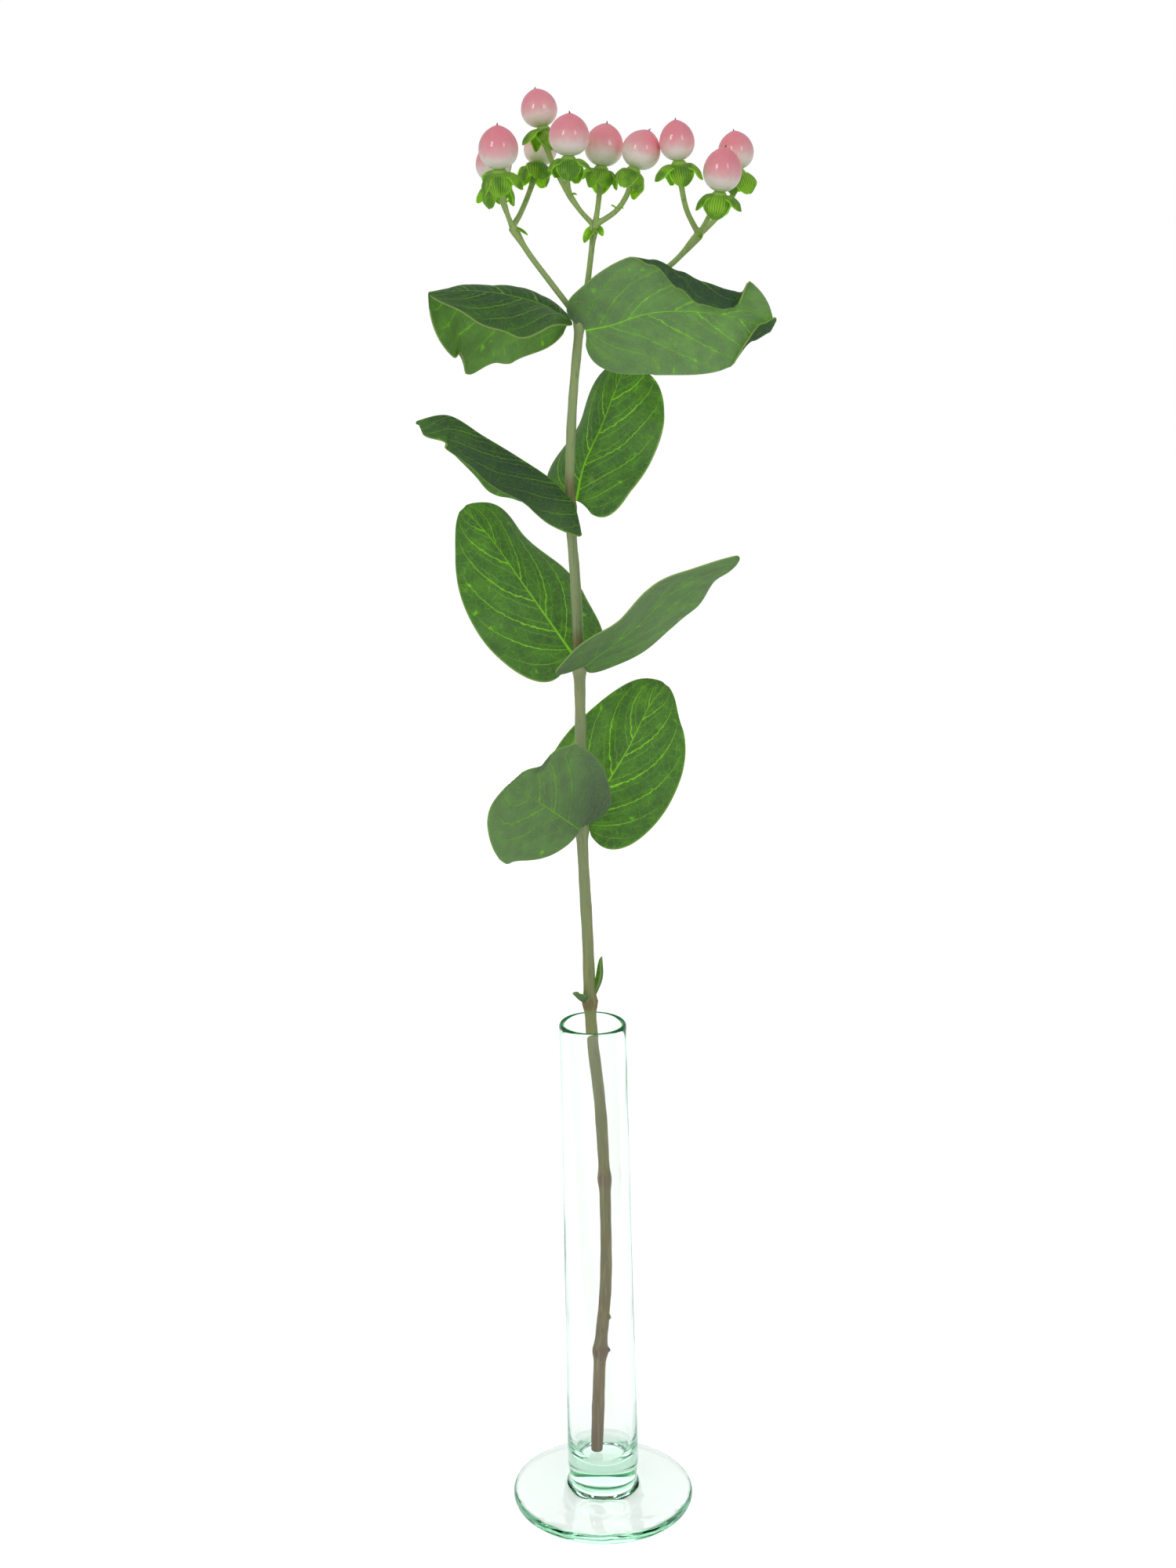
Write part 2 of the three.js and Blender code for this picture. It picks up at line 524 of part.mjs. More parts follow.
/** A calyx: a small round receptacle with five sepals that arch out and hang down round it. */
function calyxSolid(fruit, number) {
  const { count, length, halfWidth, frontBreadth, sideBreadth } = SEPALS;
  const parts = [bead(new THREE.Vector3(0, 0, -RECEPTACLE.half * 0.6), RECEPTACLE.radius, RECEPTACLE.half,
    new THREE.Vector3(0, 0, 1), 6)];
  for (let i = 0; i < count; i += 1) {
    const droop = i === 0 ? 0.85 : 0.5 + 0.5 * Math.sin(2.4 * i + 1.7 * number);
    const size = 1 - 0.1 * Math.cos(1.9 * i + number);
    const bend = (spreading, hanging) => THREE.MathUtils.lerp(spreading, hanging, droop) * size;
    const width = halfWidth * size * (i === 0 ? frontBreadth : sideBreadth);
    const half = { half: width, wide: 0.85, blunt: 0.45, lobe: 0, lift: [0], curl: [-40] };
    const sepal = {
      rib: [[1.8, 0, -1], [bend(4.4, 3.6), 0, bend(-0.9, -1.9)], [bend(7.2, 4.7), 0, bend(-2.6, -5.2)],
        [bend(8.8, 4), 0, bend(-5, -length + 0.4)]],
      face: [[0, 0, 1], [1, 0, 0.6], [1, 0, 0]],
      left: half,
      right: half,
    };
    const geometry = bladeGeometry(sepal, LEAF_THICKNESS, [3, 1]);
    geometry.rotateZ(radians(fruit.turn + (360 * i) / count));
    parts.push(geometry);
  }
  const turn = new THREE.Quaternion().setFromUnitVectors(new THREE.Vector3(0, 0, 1), fruitAxis(fruit));
  for (const geometry of parts) geometry.applyQuaternion(turn).translate(...fruit.foot);
  return joined(parts.map(solidOf));
}

/** A berry: egg-shaped, broad below and domed above, with the stub of its style on top. */
function berryGeometry(fruit, grow = 0) {
  const height = vector(fruit.top).distanceTo(vector(fruit.foot));
  const radius = fruit.width / 2;
  const ROWS = 7;
  const STUB = { radius: 0.4, height: 0.8 };
  const profile = [new THREE.Vector2(0, -grow)];
  for (let row = 1; row < ROWS; row += 1) {
    const up = row / ROWS;
    const polar = Math.PI * up;
    const breadth = Math.sin(polar) * (1 + 0.07 * Math.cos(polar));
    profile.push(new THREE.Vector2(radius * breadth + grow, (height * (1 - Math.cos(polar))) / 2));
  }
  profile.push(new THREE.Vector2(STUB.radius + grow, height - 0.15 + grow));
  profile.push(new THREE.Vector2(STUB.radius * 0.8 + grow, height + STUB.height + grow));
  profile.push(new THREE.Vector2(0, height + STUB.height + grow));
  const geometry = new THREE.LatheGeometry(profile, 10);
  const turn = new THREE.Quaternion().setFromUnitVectors(new THREE.Vector3(0, 1, 0), fruitAxis(fruit));
  geometry.applyQuaternion(turn);
  geometry.translate(...fruit.foot);
  return geometry;
}

// ---------------------------------------------------------------- assembly

const arrangement = new THREE.Group();

function addMesh(name, geometry, material) {
  const mesh = new THREE.Mesh(geometry, material);
  mesh.name = name;
  arrangement.add(mesh);
}

const stem = stemSolid();
const stemWithClearance = stemSolid(CLEARANCE);
addMesh("vase", vaseGeometry(), glass);
addMesh("stem", geometryOf(stem), bark);

for (const [name, leaf] of Object.entries(LEAVES)) {
  const folded = leaf.left.folds || leaf.right.folds;
  const cells = leaf.cells || (folded ? FOLDED_CELLS : LEAF_CELLS);
  const blade = solidOf(bladeGeometry(leaf, LEAF_THICKNESS, cells));
  addMesh(name, geometryOf(blade.subtract(stemWithClearance)), leafGreen);
}

FRUITS.forEach((fruit, i) => {
  const number = String(i + 1).padStart(2, "0");
  const room = joined([stemWithClearance, solidOf(berryGeometry(fruit, CLEARANCE))]);
  addMesh(`calyx_${number}`, geometryOf(calyxSolid(fruit, i + 1).subtract(room)), sepalGreen);
  addMesh(`berry_${number}`, berryGeometry(fruit), berryPink);
});

export default arrangement;
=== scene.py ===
"""A cut stem of hypericum in fruit, standing in a hand-blown glass stem vase.

Sizes in the tables are millimetres, +Z up, with the origin under the middle of the vase's foot and
the front of the arrangement facing -Y. Meshes are made in metres. A blade, which is a leaf, a sepal
or a bract, carries two UV maps: "span" gives fractions of its length and breadth, and "spread"
gives centimetres along it and across it, the midrib standing at SPREAD_MIDRIB.
"""

import logging
import math
from collections.abc import Callable, Sequence
from dataclasses import dataclass, field
from enum import Enum

import bpy
import numpy as np
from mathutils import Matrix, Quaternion, Vector

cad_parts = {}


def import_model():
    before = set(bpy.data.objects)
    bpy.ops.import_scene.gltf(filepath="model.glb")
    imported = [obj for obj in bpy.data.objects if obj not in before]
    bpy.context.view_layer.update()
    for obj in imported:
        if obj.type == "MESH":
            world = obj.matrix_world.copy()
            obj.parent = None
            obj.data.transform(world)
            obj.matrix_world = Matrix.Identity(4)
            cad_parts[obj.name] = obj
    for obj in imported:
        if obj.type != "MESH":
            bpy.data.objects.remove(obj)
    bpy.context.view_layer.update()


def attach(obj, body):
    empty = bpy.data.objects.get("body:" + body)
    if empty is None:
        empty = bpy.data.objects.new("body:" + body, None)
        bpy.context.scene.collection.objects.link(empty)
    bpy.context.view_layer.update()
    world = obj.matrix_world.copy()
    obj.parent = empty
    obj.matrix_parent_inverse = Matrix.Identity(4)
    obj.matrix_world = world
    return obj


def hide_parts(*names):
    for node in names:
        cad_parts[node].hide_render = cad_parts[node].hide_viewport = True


LOG = logging.getLogger("arrangement")
MM = 0.001
UP = Vector((0.0, 0.0, 1.0))
SPREAD_MIDRIB = 5.0
SPREAD_SCALE = 0.1
Point = tuple[float, float, float]
Colour = tuple[float, float, float]
Grid = tuple[int, int]
Span = tuple[float, float]
Stops = tuple[tuple[float, Colour], ...]


# ---------------------------------------------------------------- shader maths


class Value:
    """A shader socket that takes part in sums, as a number does."""

    def __init__(self, graph: "Graph", socket: bpy.types.NodeSocket) -> None:
        """Wraps one output socket of a graph.

        Args:
            graph: the graph that adds the Math nodes.
            socket: the output that gives the number.
        """
        self.graph = graph
        self.socket = socket

    def math(self, operation: str, *others: "Value | float") -> "Value":
        """Adds a Math node on this value.

        Args:
            operation: the Math node's operation.
            others: its second and third inputs.

        Returns:
            The result as a value.
        """
        inputs = dict(enumerate((self, *others)))
        return self.graph.node("ShaderNodeMath", {"operation": operation}, inputs)

    def __add__(self, other: "Value | float") -> "Value":
        """Sum."""
        return self.math("ADD", other)

    def __sub__(self, other: "Value | float") -> "Value":
        """Difference."""
        return self.math("SUBTRACT", other)

    def __rsub__(self, other: float) -> "Value":
        """Difference from a plain number."""
        return self.graph.node("ShaderNodeMath", {"operation": "SUBTRACT"}, {0: other, 1: self})

    def __mul__(self, other: "Value | float") -> "Value":
        """Product."""
        return self.math("MULTIPLY", other)

    def __truediv__(self, other: "Value | float") -> "Value":
        """Quotient."""
        return self.math("DIVIDE", other)

    __radd__ = __add__
    __rmul__ = __mul__

    def power(self, exponent: float) -> "Value":
        """This value raised to a power."""
        return self.math("POWER", exponent)

    def distance(self) -> "Value":
        """Distance from zero."""
        return self.math("ABSOLUTE")

    def fraction(self) -> "Value":
        """What is left over the whole number below."""
        return self.math("FRACT")

    def above(self, level: float) -> "Value":
        """1 where this value is over a level, 0 elsewhere."""
        return self.math("GREATER_THAN", level)

    def most(self, other: "Value | float") -> "Value":
        """The larger of two values."""
        return self.math("MAXIMUM", other)

    def ease(self, start: "Value | float", end: "Value | float") -> "Value":
        """Smooth step from 0 at `start` to 1 at `end`, which may be the lower of the two.

        Args:
            start: where the result is 0.
            end: where the result is 1.

        Returns:
            The eased value, kept between 0 and 1.
        """
        settings = {"interpolation_type": "SMOOTHSTEP", "clamp": True}
        return self.graph.node("ShaderNodeMapRange", settings, {
            "Value": self, "From Min": start, "From Max": end, "To Min": 0.0, "To Max": 1.0,
        })


class Graph:
    """The node graph of one material or world."""

    def __init__(self, owner: bpy.types.Material | bpy.types.World) -> None:
        """Empties the owner's graph.

        Args:
            owner: the material or the world.
        """
        owner.use_nodes = True
        self.owner = owner
        self.tree = owner.node_tree
        self.tree.nodes.clear()

    def node(self, kind: str, settings: dict | None = None, inputs: dict | None = None,
             output: str | int = 0) -> Value:
        """Adds a node, its settings first and then its sockets.

        Args:
            kind: the node's type.
            settings: attributes of the node; `stops` gives a colour ramp's places and colours.
            inputs: values or links, by the socket's name, identifier or number.
            output: the name, identifier or number of the output that is wanted.

        Returns:
            That output as a value.
        """
        made = self.tree.nodes.new(kind)
        for name, setting in (settings or {}).items():
            if name == "stops":
                self._stops(made.color_ramp, setting)
            else:
                setattr(made, name, setting)
        for name, item in (inputs or {}).items():
            socket = self._find(made.inputs, name)
            if isinstance(item, Value):
                self.tree.links.new(item.socket, socket)
            else:
                is_colour = socket.type == "RGBA" and len(item) == 3
                socket.default_value = (*item, 1.0) if is_colour else item
        return Value(self, self._find(made.outputs, output))

    @staticmethod
    def _stops(ramp: bpy.types.ColorRamp, stops: Stops) -> None:
        """Sets a colour ramp's stops.

        Args:
            ramp: the ramp, with its two first stops.
            stops: places from 0 to 1, each with its colour.
        """
        while len(ramp.elements) < len(stops):
            ramp.elements.new(1.0)
        for element, (place, colour) in zip(ramp.elements, stops):
            element.position = place
            element.color = (*colour, 1.0)

    @staticmethod
    def _find(sockets: bpy.types.bpy_prop_collection, name: str | int) -> bpy.types.NodeSocket:
        """Finds a socket by its number, identifier or name, in that order.

        Args:
            sockets: a node's inputs or outputs.
            name: what is looked for.

        Returns:
            The socket.
        """
        by_identifier = {socket.identifier: socket for socket in sockets}
        return by_identifier.get(name) or sockets[name]

    def uv(self, layer: str) -> Value:
        """The vector of one of the piece's own UV maps."""
        return self.node("ShaderNodeUVMap", {"uv_map": layer})

    def blade(self) -> tuple[Value, Value]:
        """Fractions along a blade, from its foot, and across it, from -1 to 1 over the midrib."""
        span = self.uv("span")
        return self.axis(span, "X"), self.axis(span, "Y") * 2.0 - 1.0

    def place(self) -> Value:
        """The vector of the point in the object, in metres."""
        return self.node("ShaderNodeTexCoord", output="Object")

    def axis(self, vector: Value, axis: str) -> Value:
        """One coordinate of a vector."""
        return self.node("ShaderNodeSeparateXYZ", inputs={0: vector}, output=axis)

    def stretched(self, vector: Value, scale: Point) -> Value:
        """A vector scaled by three numbers."""
        return self.node("ShaderNodeMapping", inputs={"Vector": vector, "Scale": scale})

    def noise(self, vector: Value, scale: float, detail: float = 2.0,
              roughness: float = 0.5) -> Value:
        """Adds a soft random pattern between 0 and 1.

        Args:
            vector: the place that it reads.
            scale: how close its waves stand.
            detail: how many finer layers it has.
            roughness: how strong those are.

        Returns:
            The pattern.
        """
        return self.node("ShaderNodeTexNoise", inputs={
            "Vector": vector, "Scale": scale, "Detail": detail, "Roughness": roughness,
        })

    def cells(self, vector: Value, scale: float) -> Value:
        """Distance from the walls between random cells."""
        return self.node("ShaderNodeTexVoronoi", {"feature": "DISTANCE_TO_EDGE"},
                         {"Vector": vector, "Scale": scale})

    def mix(self, share: Value | float, first: Value | Colour, second: Value | Colour) -> Value:
        """Blends two colours.

        Args:
            share: how much of the second shows.
            first: the colour at share 0.
            second: the colour at share 1.

        Returns:
            The blend.
        """
        return self.node("ShaderNodeMix", {"data_type": "RGBA"}, {
            "Factor_Float": share, "A_Color": first, "B_Color": second,
        }, "Result_Color")

    def bump(self, height: Value, distance: float, strength: float) -> Value:
        """Tilts the normal by a height pattern.

        Args:
            height: the pattern.
            distance: the metres that 1 in the pattern stands for.
            strength: how strongly it shows.

        Returns:
            The tilted normal.
        """
        return self.node("ShaderNodeBump", inputs={
            "Height": height, "Distance": distance, "Strength": strength,
        }, output="Normal")

    def finish(self, sockets: dict, volume: Value | None = None,
               through: tuple[Value, Colour] | None = None) -> bpy.types.Material:
        """Ends the graph in one principled surface.

        Args:
            sockets: values and links of the surface's sockets.
            volume: what fills the piece, if anything.
            through: the share of the surface that lets light through, and the colour it takes.

        Returns:
            The material.
        """
        surface = self.node("ShaderNodeBsdfPrincipled", inputs=sockets)
        if through is not None:
            share, colour = through
            glowing = self.node("ShaderNodeBsdfTranslucent", inputs={"Color": colour})
            surface = self.node("ShaderNodeMixShader", inputs={0: share, 1: surface, 2: glowing})
        end = {"Surface": surface}
        if volume is not None:
            end["Volume"] = volume
        self.end("ShaderNodeOutputMaterial", end)
        return self.owner

    def end(self, kind: str, results: dict[str, Value]) -> None:
        """Ends the graph in its output node.

        Args:
            kind: the output node's type.
            results: what goes into each of its sockets.
        """
        made = self.tree.nodes.new(kind)
        for name, result in results.items():
            self.tree.links.new(result.socket, made.inputs[name])


# ---------------------------------------------------------------- finishes


@dataclass(frozen=True)
class VeinLayout:
    """Where a leaf's side veins run: forward from the midrib, arching towards the tip."""

    count: float = 6.2
    slope: float = 0.28
    arch: float = 0.2
    stagger: float = 0.43
    uneven: float = 0.03
    uneven_scale: float = 5.0

    def number(self, along: np.ndarray, across: np.ndarray) -> np.ndarray:
        """Counts the veins up to a place on the leaf.

        Args:
            along: fraction of the way from the foot to the tip.
            across: place from the left margin, -1, over the midrib, 0, to the right one, 1.

        Returns:
            A number that is a half past a whole number on each vein.
        """
        out = np.abs(across)
        back = self.slope * out + self.arch * out**2
        return (along - back) * self.count + self.stagger * (across > 0)

    def number_in(self, graph: Graph, along: Value, across: Value) -> Value:
        """The same count as shader maths, slightly uneven.

        Args:
            graph: the graph of the leaf's finish.
            along: fraction of the way from the foot to the tip.
            across: place from the left margin, -1, to the right one, 1.

        Returns:
            The count as a value.
        """
        out = across.distance()
        drift = (graph.noise(graph.uv("spread"), self.uneven_scale) - 0.5) * self.uneven
        back = out * self.slope + out * out * self.arch
        return (along - back + drift) * self.count + across.above(0.0) * self.stagger


VEINS = VeinLayout()


class Face(Enum):
    """The two sides of a leaf."""

    UPPER = "upper"
    UNDER = "under"


@dataclass(frozen=True)
class LeafFinish:
    """Leaf tissue of one side, with its midrib, side veins and fine net, lit through from behind.

    An edge gives how far from its middle a line starts and where it is full, and a strength how
    much of the vein's colour it shows.
    """

    name: str
    face: Face
    deep: Colour
    fresh: Colour
    vein: Colour
    roughness: float
    glow: Colour = (0.54, 0.93, 0.14)
    spot: Colour = (0.07, 0.045, 0.015)
    tissue_share: float = 0.285
    vein_share: float = 0.74
    midrib_tip: float = 0.012
    midrib_taper: float = 0.06
    midrib_fade: float = 0.45
    side_edge: Span = (0.04, 0.014)
    side_strength: float = 0.85
    between_edge: Span = (0.05, 0.015)
    between_strength: float = 0.32
    net_scale: float = 4.0
    net_edge: Span = (0.06, 0.01)
    net_strength: float = 0.1
    fine_net_scale: float = 8.0
    fine_net_strength: float = 0.06
    margin_start: float = 0.965
    cloud_scale: float = 1.4
    pale_scale: float = 2.2
    cell_scale: float = 3.2
    freckle_scale: float = 3.6
    relief: float = 0.0004

    def material(self) -> bpy.types.Material:
        """Builds the material.

        Returns:
            The leaf material of this side.
        """
        graph = Graph(bpy.data.materials.new(self.name))
        along, across = graph.blade()
        out = across.distance()
        spread = graph.uv("spread")
        number = VEINS.number_in(graph, along, across)
        side_vein = (number.fraction() - 0.5).distance().ease(*self.side_edge) * out.ease(1.0, 0.6)
        halfway = ((number * 2.0).fraction() - 0.5).distance()
        between = halfway.ease(*self.between_edge) * out.ease(0.8, 0.2)
        ribwards = (graph.axis(spread, "Y") - SPREAD_MIDRIB).distance()
        rib_width = (1.0 - along).power(1.5) * self.midrib_taper + self.midrib_tip
        midrib = ribwards.ease(rib_width, rib_width * 0.4)
        net = graph.cells(spread, self.net_scale).ease(*self.net_edge)
        fine_cells = graph.cells(spread, self.fine_net_scale)
        cloud = graph.noise(spread, self.cloud_scale, 3.0, 0.6)
        rib = midrib * (1.0 - along * self.midrib_fade)
        strong = rib.most(side_vein * self.side_strength).most(between * self.between_strength)
        fine_net = fine_cells.ease(0.12, 0.0) * self.fine_net_strength
        lines = strong.most(net * self.net_strength).most(fine_net)
        tissue = graph.mix((cloud + out * 0.25).ease(0.35, 0.95), self.deep, self.fresh)
        pale = graph.noise(spread, self.pale_scale).ease(0.66, 0.7) * out.ease(0.4, 0.8)
        colour = graph.mix(lines, tissue, self.vein)
        margin = out.ease(self.margin_start, 1.0)
        colour = graph.mix(margin * 0.7, colour, self.vein)
        freckle = graph.noise(spread, self.freckle_scale, 3.0, 0.7).ease(0.7, 0.76)
        colour = graph.mix(freckle * 0.7, colour, self.spot)
        way = -1.0 if self.face is Face.UPPER else 1.0
        cell_rise = fine_cells * 0.4 + graph.cells(spread, self.cell_scale)
        height = (midrib * 2.0 + side_vein + net * 0.3) * way + cell_rise * 0.7
        clear = (cloud.ease(0.3, 0.75) - 0.5) * 0.09 + pale * 0.24 + self.tissue_share
        share = clear + strong.most(net * 0.26) * (self.vein_share - self.tissue_share)
        return graph.finish({
            "Base Color": colour,
            "Roughness": cloud * 0.12 + self.roughness,
            "Normal": graph.bump(height, self.relief, 0.9),
            "Specular IOR Level": 0.4,
        }, through=(share * (1.0 - freckle * 0.6), self.glow))


@dataclass(frozen=True)
class SepalFinish:
    """Bright green sepals with fine ribs that run lengthwise."""

    name: str = "sepal_green"
    green: Colour = (0.14, 0.34, 0.03)
    fresh: Colour = (0.42, 0.7, 0.07)
    furrow: Colour = (0.03, 0.1, 0.02)
    pale: Colour = (0.62, 0.8, 0.26)
    glow: Colour = (0.62, 0.95, 0.12)
    ribs: float = 5.6
    rib_edge: Span = (0.2, 0.06)
    margin_edge: Span = (0.84, 0.95)
    cloud_scale: float = 210.0
    relief: float = 0.0002

    def material(self) -> bpy.types.Material:
        """Builds the material.

        Returns:
            The sepal material.
        """
        graph = Graph(bpy.data.materials.new(self.name))
        along, across = graph.blade()
        out = across.distance()
        groove = ((out * self.ribs).fraction() - 0.5).distance().ease(*self.rib_edge)
        foot = along.ease(0.4, 0.05)
        margin = out.ease(*self.margin_edge)
        cloud = graph.noise(graph.place(), self.cloud_scale).ease(0.38, 0.62)
        colour = graph.mix(cloud, self.green, self.fresh)
        furrow = groove * (1.0 - margin) * along.ease(0.02, 0.2)
        colour = graph.mix(furrow * 0.8, colour, self.furrow)
        colour = graph.mix(foot.most(margin) * 0.75, colour, self.pale)
        share = (cloud - 0.5) * 0.16 + 0.46 - furrow * 0.24
        return graph.finish({
            "Base Color": colour,
            "Roughness": 0.38,
            "Normal": graph.bump(furrow * -1.0, self.relief, 0.8),
        }, through=(share.most(margin * 0.7), self.glow))


@dataclass(frozen=True)
class BerryFinish:
    """Glossy berry skin: coral pink on top, blotched and fading to cream at the foot, where the
    cream is brightened further as painted light from below.
    """

    name: str = "berry_skin"
    # The pale cream stops near the foot are the berry's own cream, brightened further as painted
    # light from below.
    ripening_and_painted_uplight: Stops = (
        (0.0, (0.62, 0.68, 0.42)), (0.1, (0.82, 0.8, 0.68)), (0.26, (0.92, 0.8, 0.74)),
        (0.42, (0.95, 0.54, 0.54)), (0.62, (0.98, 0.37, 0.42)), (1.0, (1.0, 0.24, 0.31)))
    style: Colour = (0.045, 0.025, 0.012)
    style_edge: Span = (0.985, 0.995)
    blotch_scale: float = 260.0
    streak_scale: Point = (900.0, 900.0, 140.0)
    gloss_scale: float = 500.0
    dimple_scale: float = 900.0
    relief: float = 0.00006

    def material(self) -> bpy.types.Material:
        """Builds the material.

        Returns:
            The berry material.
        """
        graph = Graph(bpy.data.materials.new(self.name))
        up = graph.axis(graph.uv("span"), "Y")
        place = graph.place()
        blotch = graph.noise(place, self.blotch_scale, 3.0, 0.6) - 0.5
        streak = graph.noise(graph.stretched(place, self.streak_scale), 1.0) - 0.5
        ripe = up + blotch * 0.22 + streak * 0.1
        colour = graph.node("ShaderNodeValToRGB", {"stops": self.ripening_and_painted_uplight}, {"Fac": ripe})
        colour = graph.mix(up.ease(*self.style_edge), colour, self.style)
        dimples = graph.noise(place, self.dimple_scale)
        return graph.finish({
            "Base Color": colour,
            "Roughness": graph.noise(place, self.gloss_scale) * 0.08 + 0.12,
            "Normal": graph.bump(dimples, self.relief, 0.5),
            "Subsurface Weight": 0.35,
            "Subsurface Radius": (1.0, 0.45, 0.35),
            "Subsurface Scale": 0.0015,
            "Coat Weight": 0.3,
            "Coat Roughness": 0.05,
        })


@dataclass(frozen=True)
class BarkFinish:
    """The stem's skin: woody brown at the cut, olive further up and grey-green above the vase.

    `rise` gives its colours up to the `top`, in millimetres, and `joints` the height, the reach and
    the strength of the brown round each node.
    """

    name: str = "stem_skin"
    top: float = 515.0
    rise: Stops = (
        (0.03, (0.17, 0.085, 0.02)), (0.1, (0.25, 0.16, 0.04)), (0.14, (0.2, 0.14, 0.02)),
        (0.27, (0.22, 0.2, 0.015)), (0.38, (0.28, 0.32, 0.12)), (0.5, (0.33, 0.41, 0.19)),
        (0.7, (0.35, 0.44, 0.22)), (0.9, (0.36, 0.5, 0.19)), (1.0, (0.38, 0.56, 0.15)))
    joints: tuple[Point, ...] = (
        (63.0, 3.6, 0.9), (134.0, 4.5, 0.9), (205.0, 3.8, 0.7), (282.0, 7.0, 0.25),
        (342.0, 9.0, 0.55), (398.0, 9.0, 0.6), (462.0, 4.0, 0.2))
    brown: Colour = (0.17, 0.055, 0.02)
    fleck: Colour = (0.06, 0.035, 0.02)
    pale_grain: Colour = (0.5, 0.43, 0.17)
    dark_grain: Colour = (0.1, 0.09, 0.03)
    grain_scale: Point = (850.0, 850.0, 45.0)
    patch_scale: Point = (300.0, 300.0, 45.0)
    fleck_scale: Point = (1100.0, 1100.0, 500.0)
    woody_below: Span = (215.0, 120.0)
    relief: float = 0.00025

    def material(self) -> bpy.types.Material:
        """Builds the material.

        Returns:
            The stem material.
        """
        graph = Graph(bpy.data.materials.new(self.name))
        place = graph.place()
        rough_grain = graph.noise(graph.stretched(place, self.grain_scale), 1.0, 3.0, 0.65)
        patches = graph.noise(graph.stretched(place, self.patch_scale), 1.0, 3.0, 0.6)
        level = graph.axis(place, "Z") / MM
        height = level / self.top + (patches - 0.5) * 0.05
        colour = graph.node("ShaderNodeValToRGB", {"stops": self.rise}, {"Fac": height})
        patchy = patches.ease(0.2, 0.6)
        for z, reach, share in self.joints:
            near = (level - z).distance().ease(reach, reach * 0.2)
            colour = graph.mix(near * share * patchy, colour, self.brown)
        fleck = graph.noise(graph.stretched(place, self.fleck_scale), 1.0).ease(0.66, 0.74)
        woody = level.ease(*self.woody_below)
        colour = graph.mix(fleck * (woody * 0.6 + 0.15), colour, self.fleck)
        colour = graph.mix(rough_grain.ease(0.48, 0.7) * 0.45, colour, self.pale_grain)
        colour = graph.mix(rough_grain.ease(0.45, 0.25) * 0.5, colour, self.dark_grain)
        return graph.finish({
            "Base Color": colour,
            "Roughness": 0.55,
            "Normal": graph.bump(rough_grain + fleck * 0.6, self.relief, 0.8),
            "Subsurface Weight": 0.15,
            "Subsurface Radius": (0.5, 1.0, 0.2),
            "Subsurface Scale": 0.0008,
        })


@dataclass(frozen=True)
class GlassFinish:
    """Clear recycled glass with a faint green body colour and slow draw marks."""

    name: str = "vase_glass"
    tint: Colour = (0.66, 0.87, 0.75)
    density: float = 54.0
    draw_marks: Point = (60.0, 60.0, 14.0)
    relief: float = 0.0012

    def material(self) -> bpy.types.Material:
        """Builds the material.

        Returns:
            The glass material.
        """
        graph = Graph(bpy.data.materials.new(self.name))
        ripple = graph.noise(graph.stretched(graph.place(), self.draw_marks), 1.0)
        body = graph.node("ShaderNodeVolumeAbsorption", inputs={
            "Color": self.tint, "Density": self.density,
        })
        return graph.finish({
            "Base Color": (1.0, 1.0, 1.0),
            "Roughness": 0.0,
            "IOR": 1.51,
            "Transmission Weight": 1.0,
            "Normal": graph.bump(ripple, self.relief, 0.35),
        }, body)


@dataclass(frozen=True)
class FloorFinish:
    """The plain pale table top, which shines evenly, as a lit table of white acrylic does."""

    name: str = "pale_floor"
    white: Colour = (0.2, 0.2, 0.2)
    lift: float = 0.93

    def material(self) -> bpy.types.Material:
        """Builds the material.

        Returns:
            The floor material.
        """
        graph = Graph(bpy.data.materials.new(self.name))
        return graph.finish({
            "Base Color": self.white,
            "Roughness": 0.9,
            "Specular IOR Level": 0.0,
            "Emission Color": (1.0, 1.0, 1.0),
            "Emission Strength": self.lift,
        })


# ---------------------------------------------------------------- modelling helpers


def start_clean() -> None:
    """Leaves edit mode and deselects everything."""
    if bpy.context.object is not None and bpy.context.object.mode != "OBJECT":
        bpy.ops.object.mode_set(mode="OBJECT")
    bpy.ops.object.select_all(action="DESELECT")


def add(operator: Callable[..., set[str]], name: str, **settings: object) -> bpy.types.Object:
    """Adds an object by one of Blender's operators, with nothing else selected.

    Args:
        operator: the operator, such as that of a primitive.
        name: the new object's name.
        settings: the operator's own settings.

    Returns:
        The new object.
    """
    start_clean()
    operator(**settings)
    bpy.context.object.name = name
    return bpy.context.object


def take(*pieces: bpy.types.Object) -> None:
    """Selects pieces alone and makes the first one active.

    Args:
        pieces: the objects.
    """
    start_clean()
    for piece in pieces:
        piece.select_set(True)
    bpy.context.view_layer.objects.active = pieces[0]


def apply_modifier(piece: bpy.types.Object, kind: str, **settings: object) -> None:
    """Adds a modifier, sets it and applies it.

    Args:
        piece: the object that is changed.
        kind: the modifier's type.
        settings: the modifier's own settings.
    """
    take(piece)
    modifier = piece.modifiers.new(kind.lower(), kind)
    for name, setting in settings.items():
        setattr(modifier, name, setting)
    bpy.ops.object.modifier_apply(modifier=modifier.name)


def settle(piece: bpy.types.Object) -> None:
    """Puts a piece's place, turn and size into its mesh."""
    take(piece)
    bpy.ops.object.transform_apply(location=True, rotation=True, scale=True)


def join(pieces: list[bpy.types.Object], name: str) -> bpy.types.Object:
    """Joins settled pieces into one.

    Args:
        pieces: the objects, of which the first one stays.
        name: the name of the result.

    Returns:
        The joined object.
    """
    take(*pieces)
    bpy.ops.object.join()
    pieces[0].name = name
    pieces[0].data.name = name
    return pieces[0]


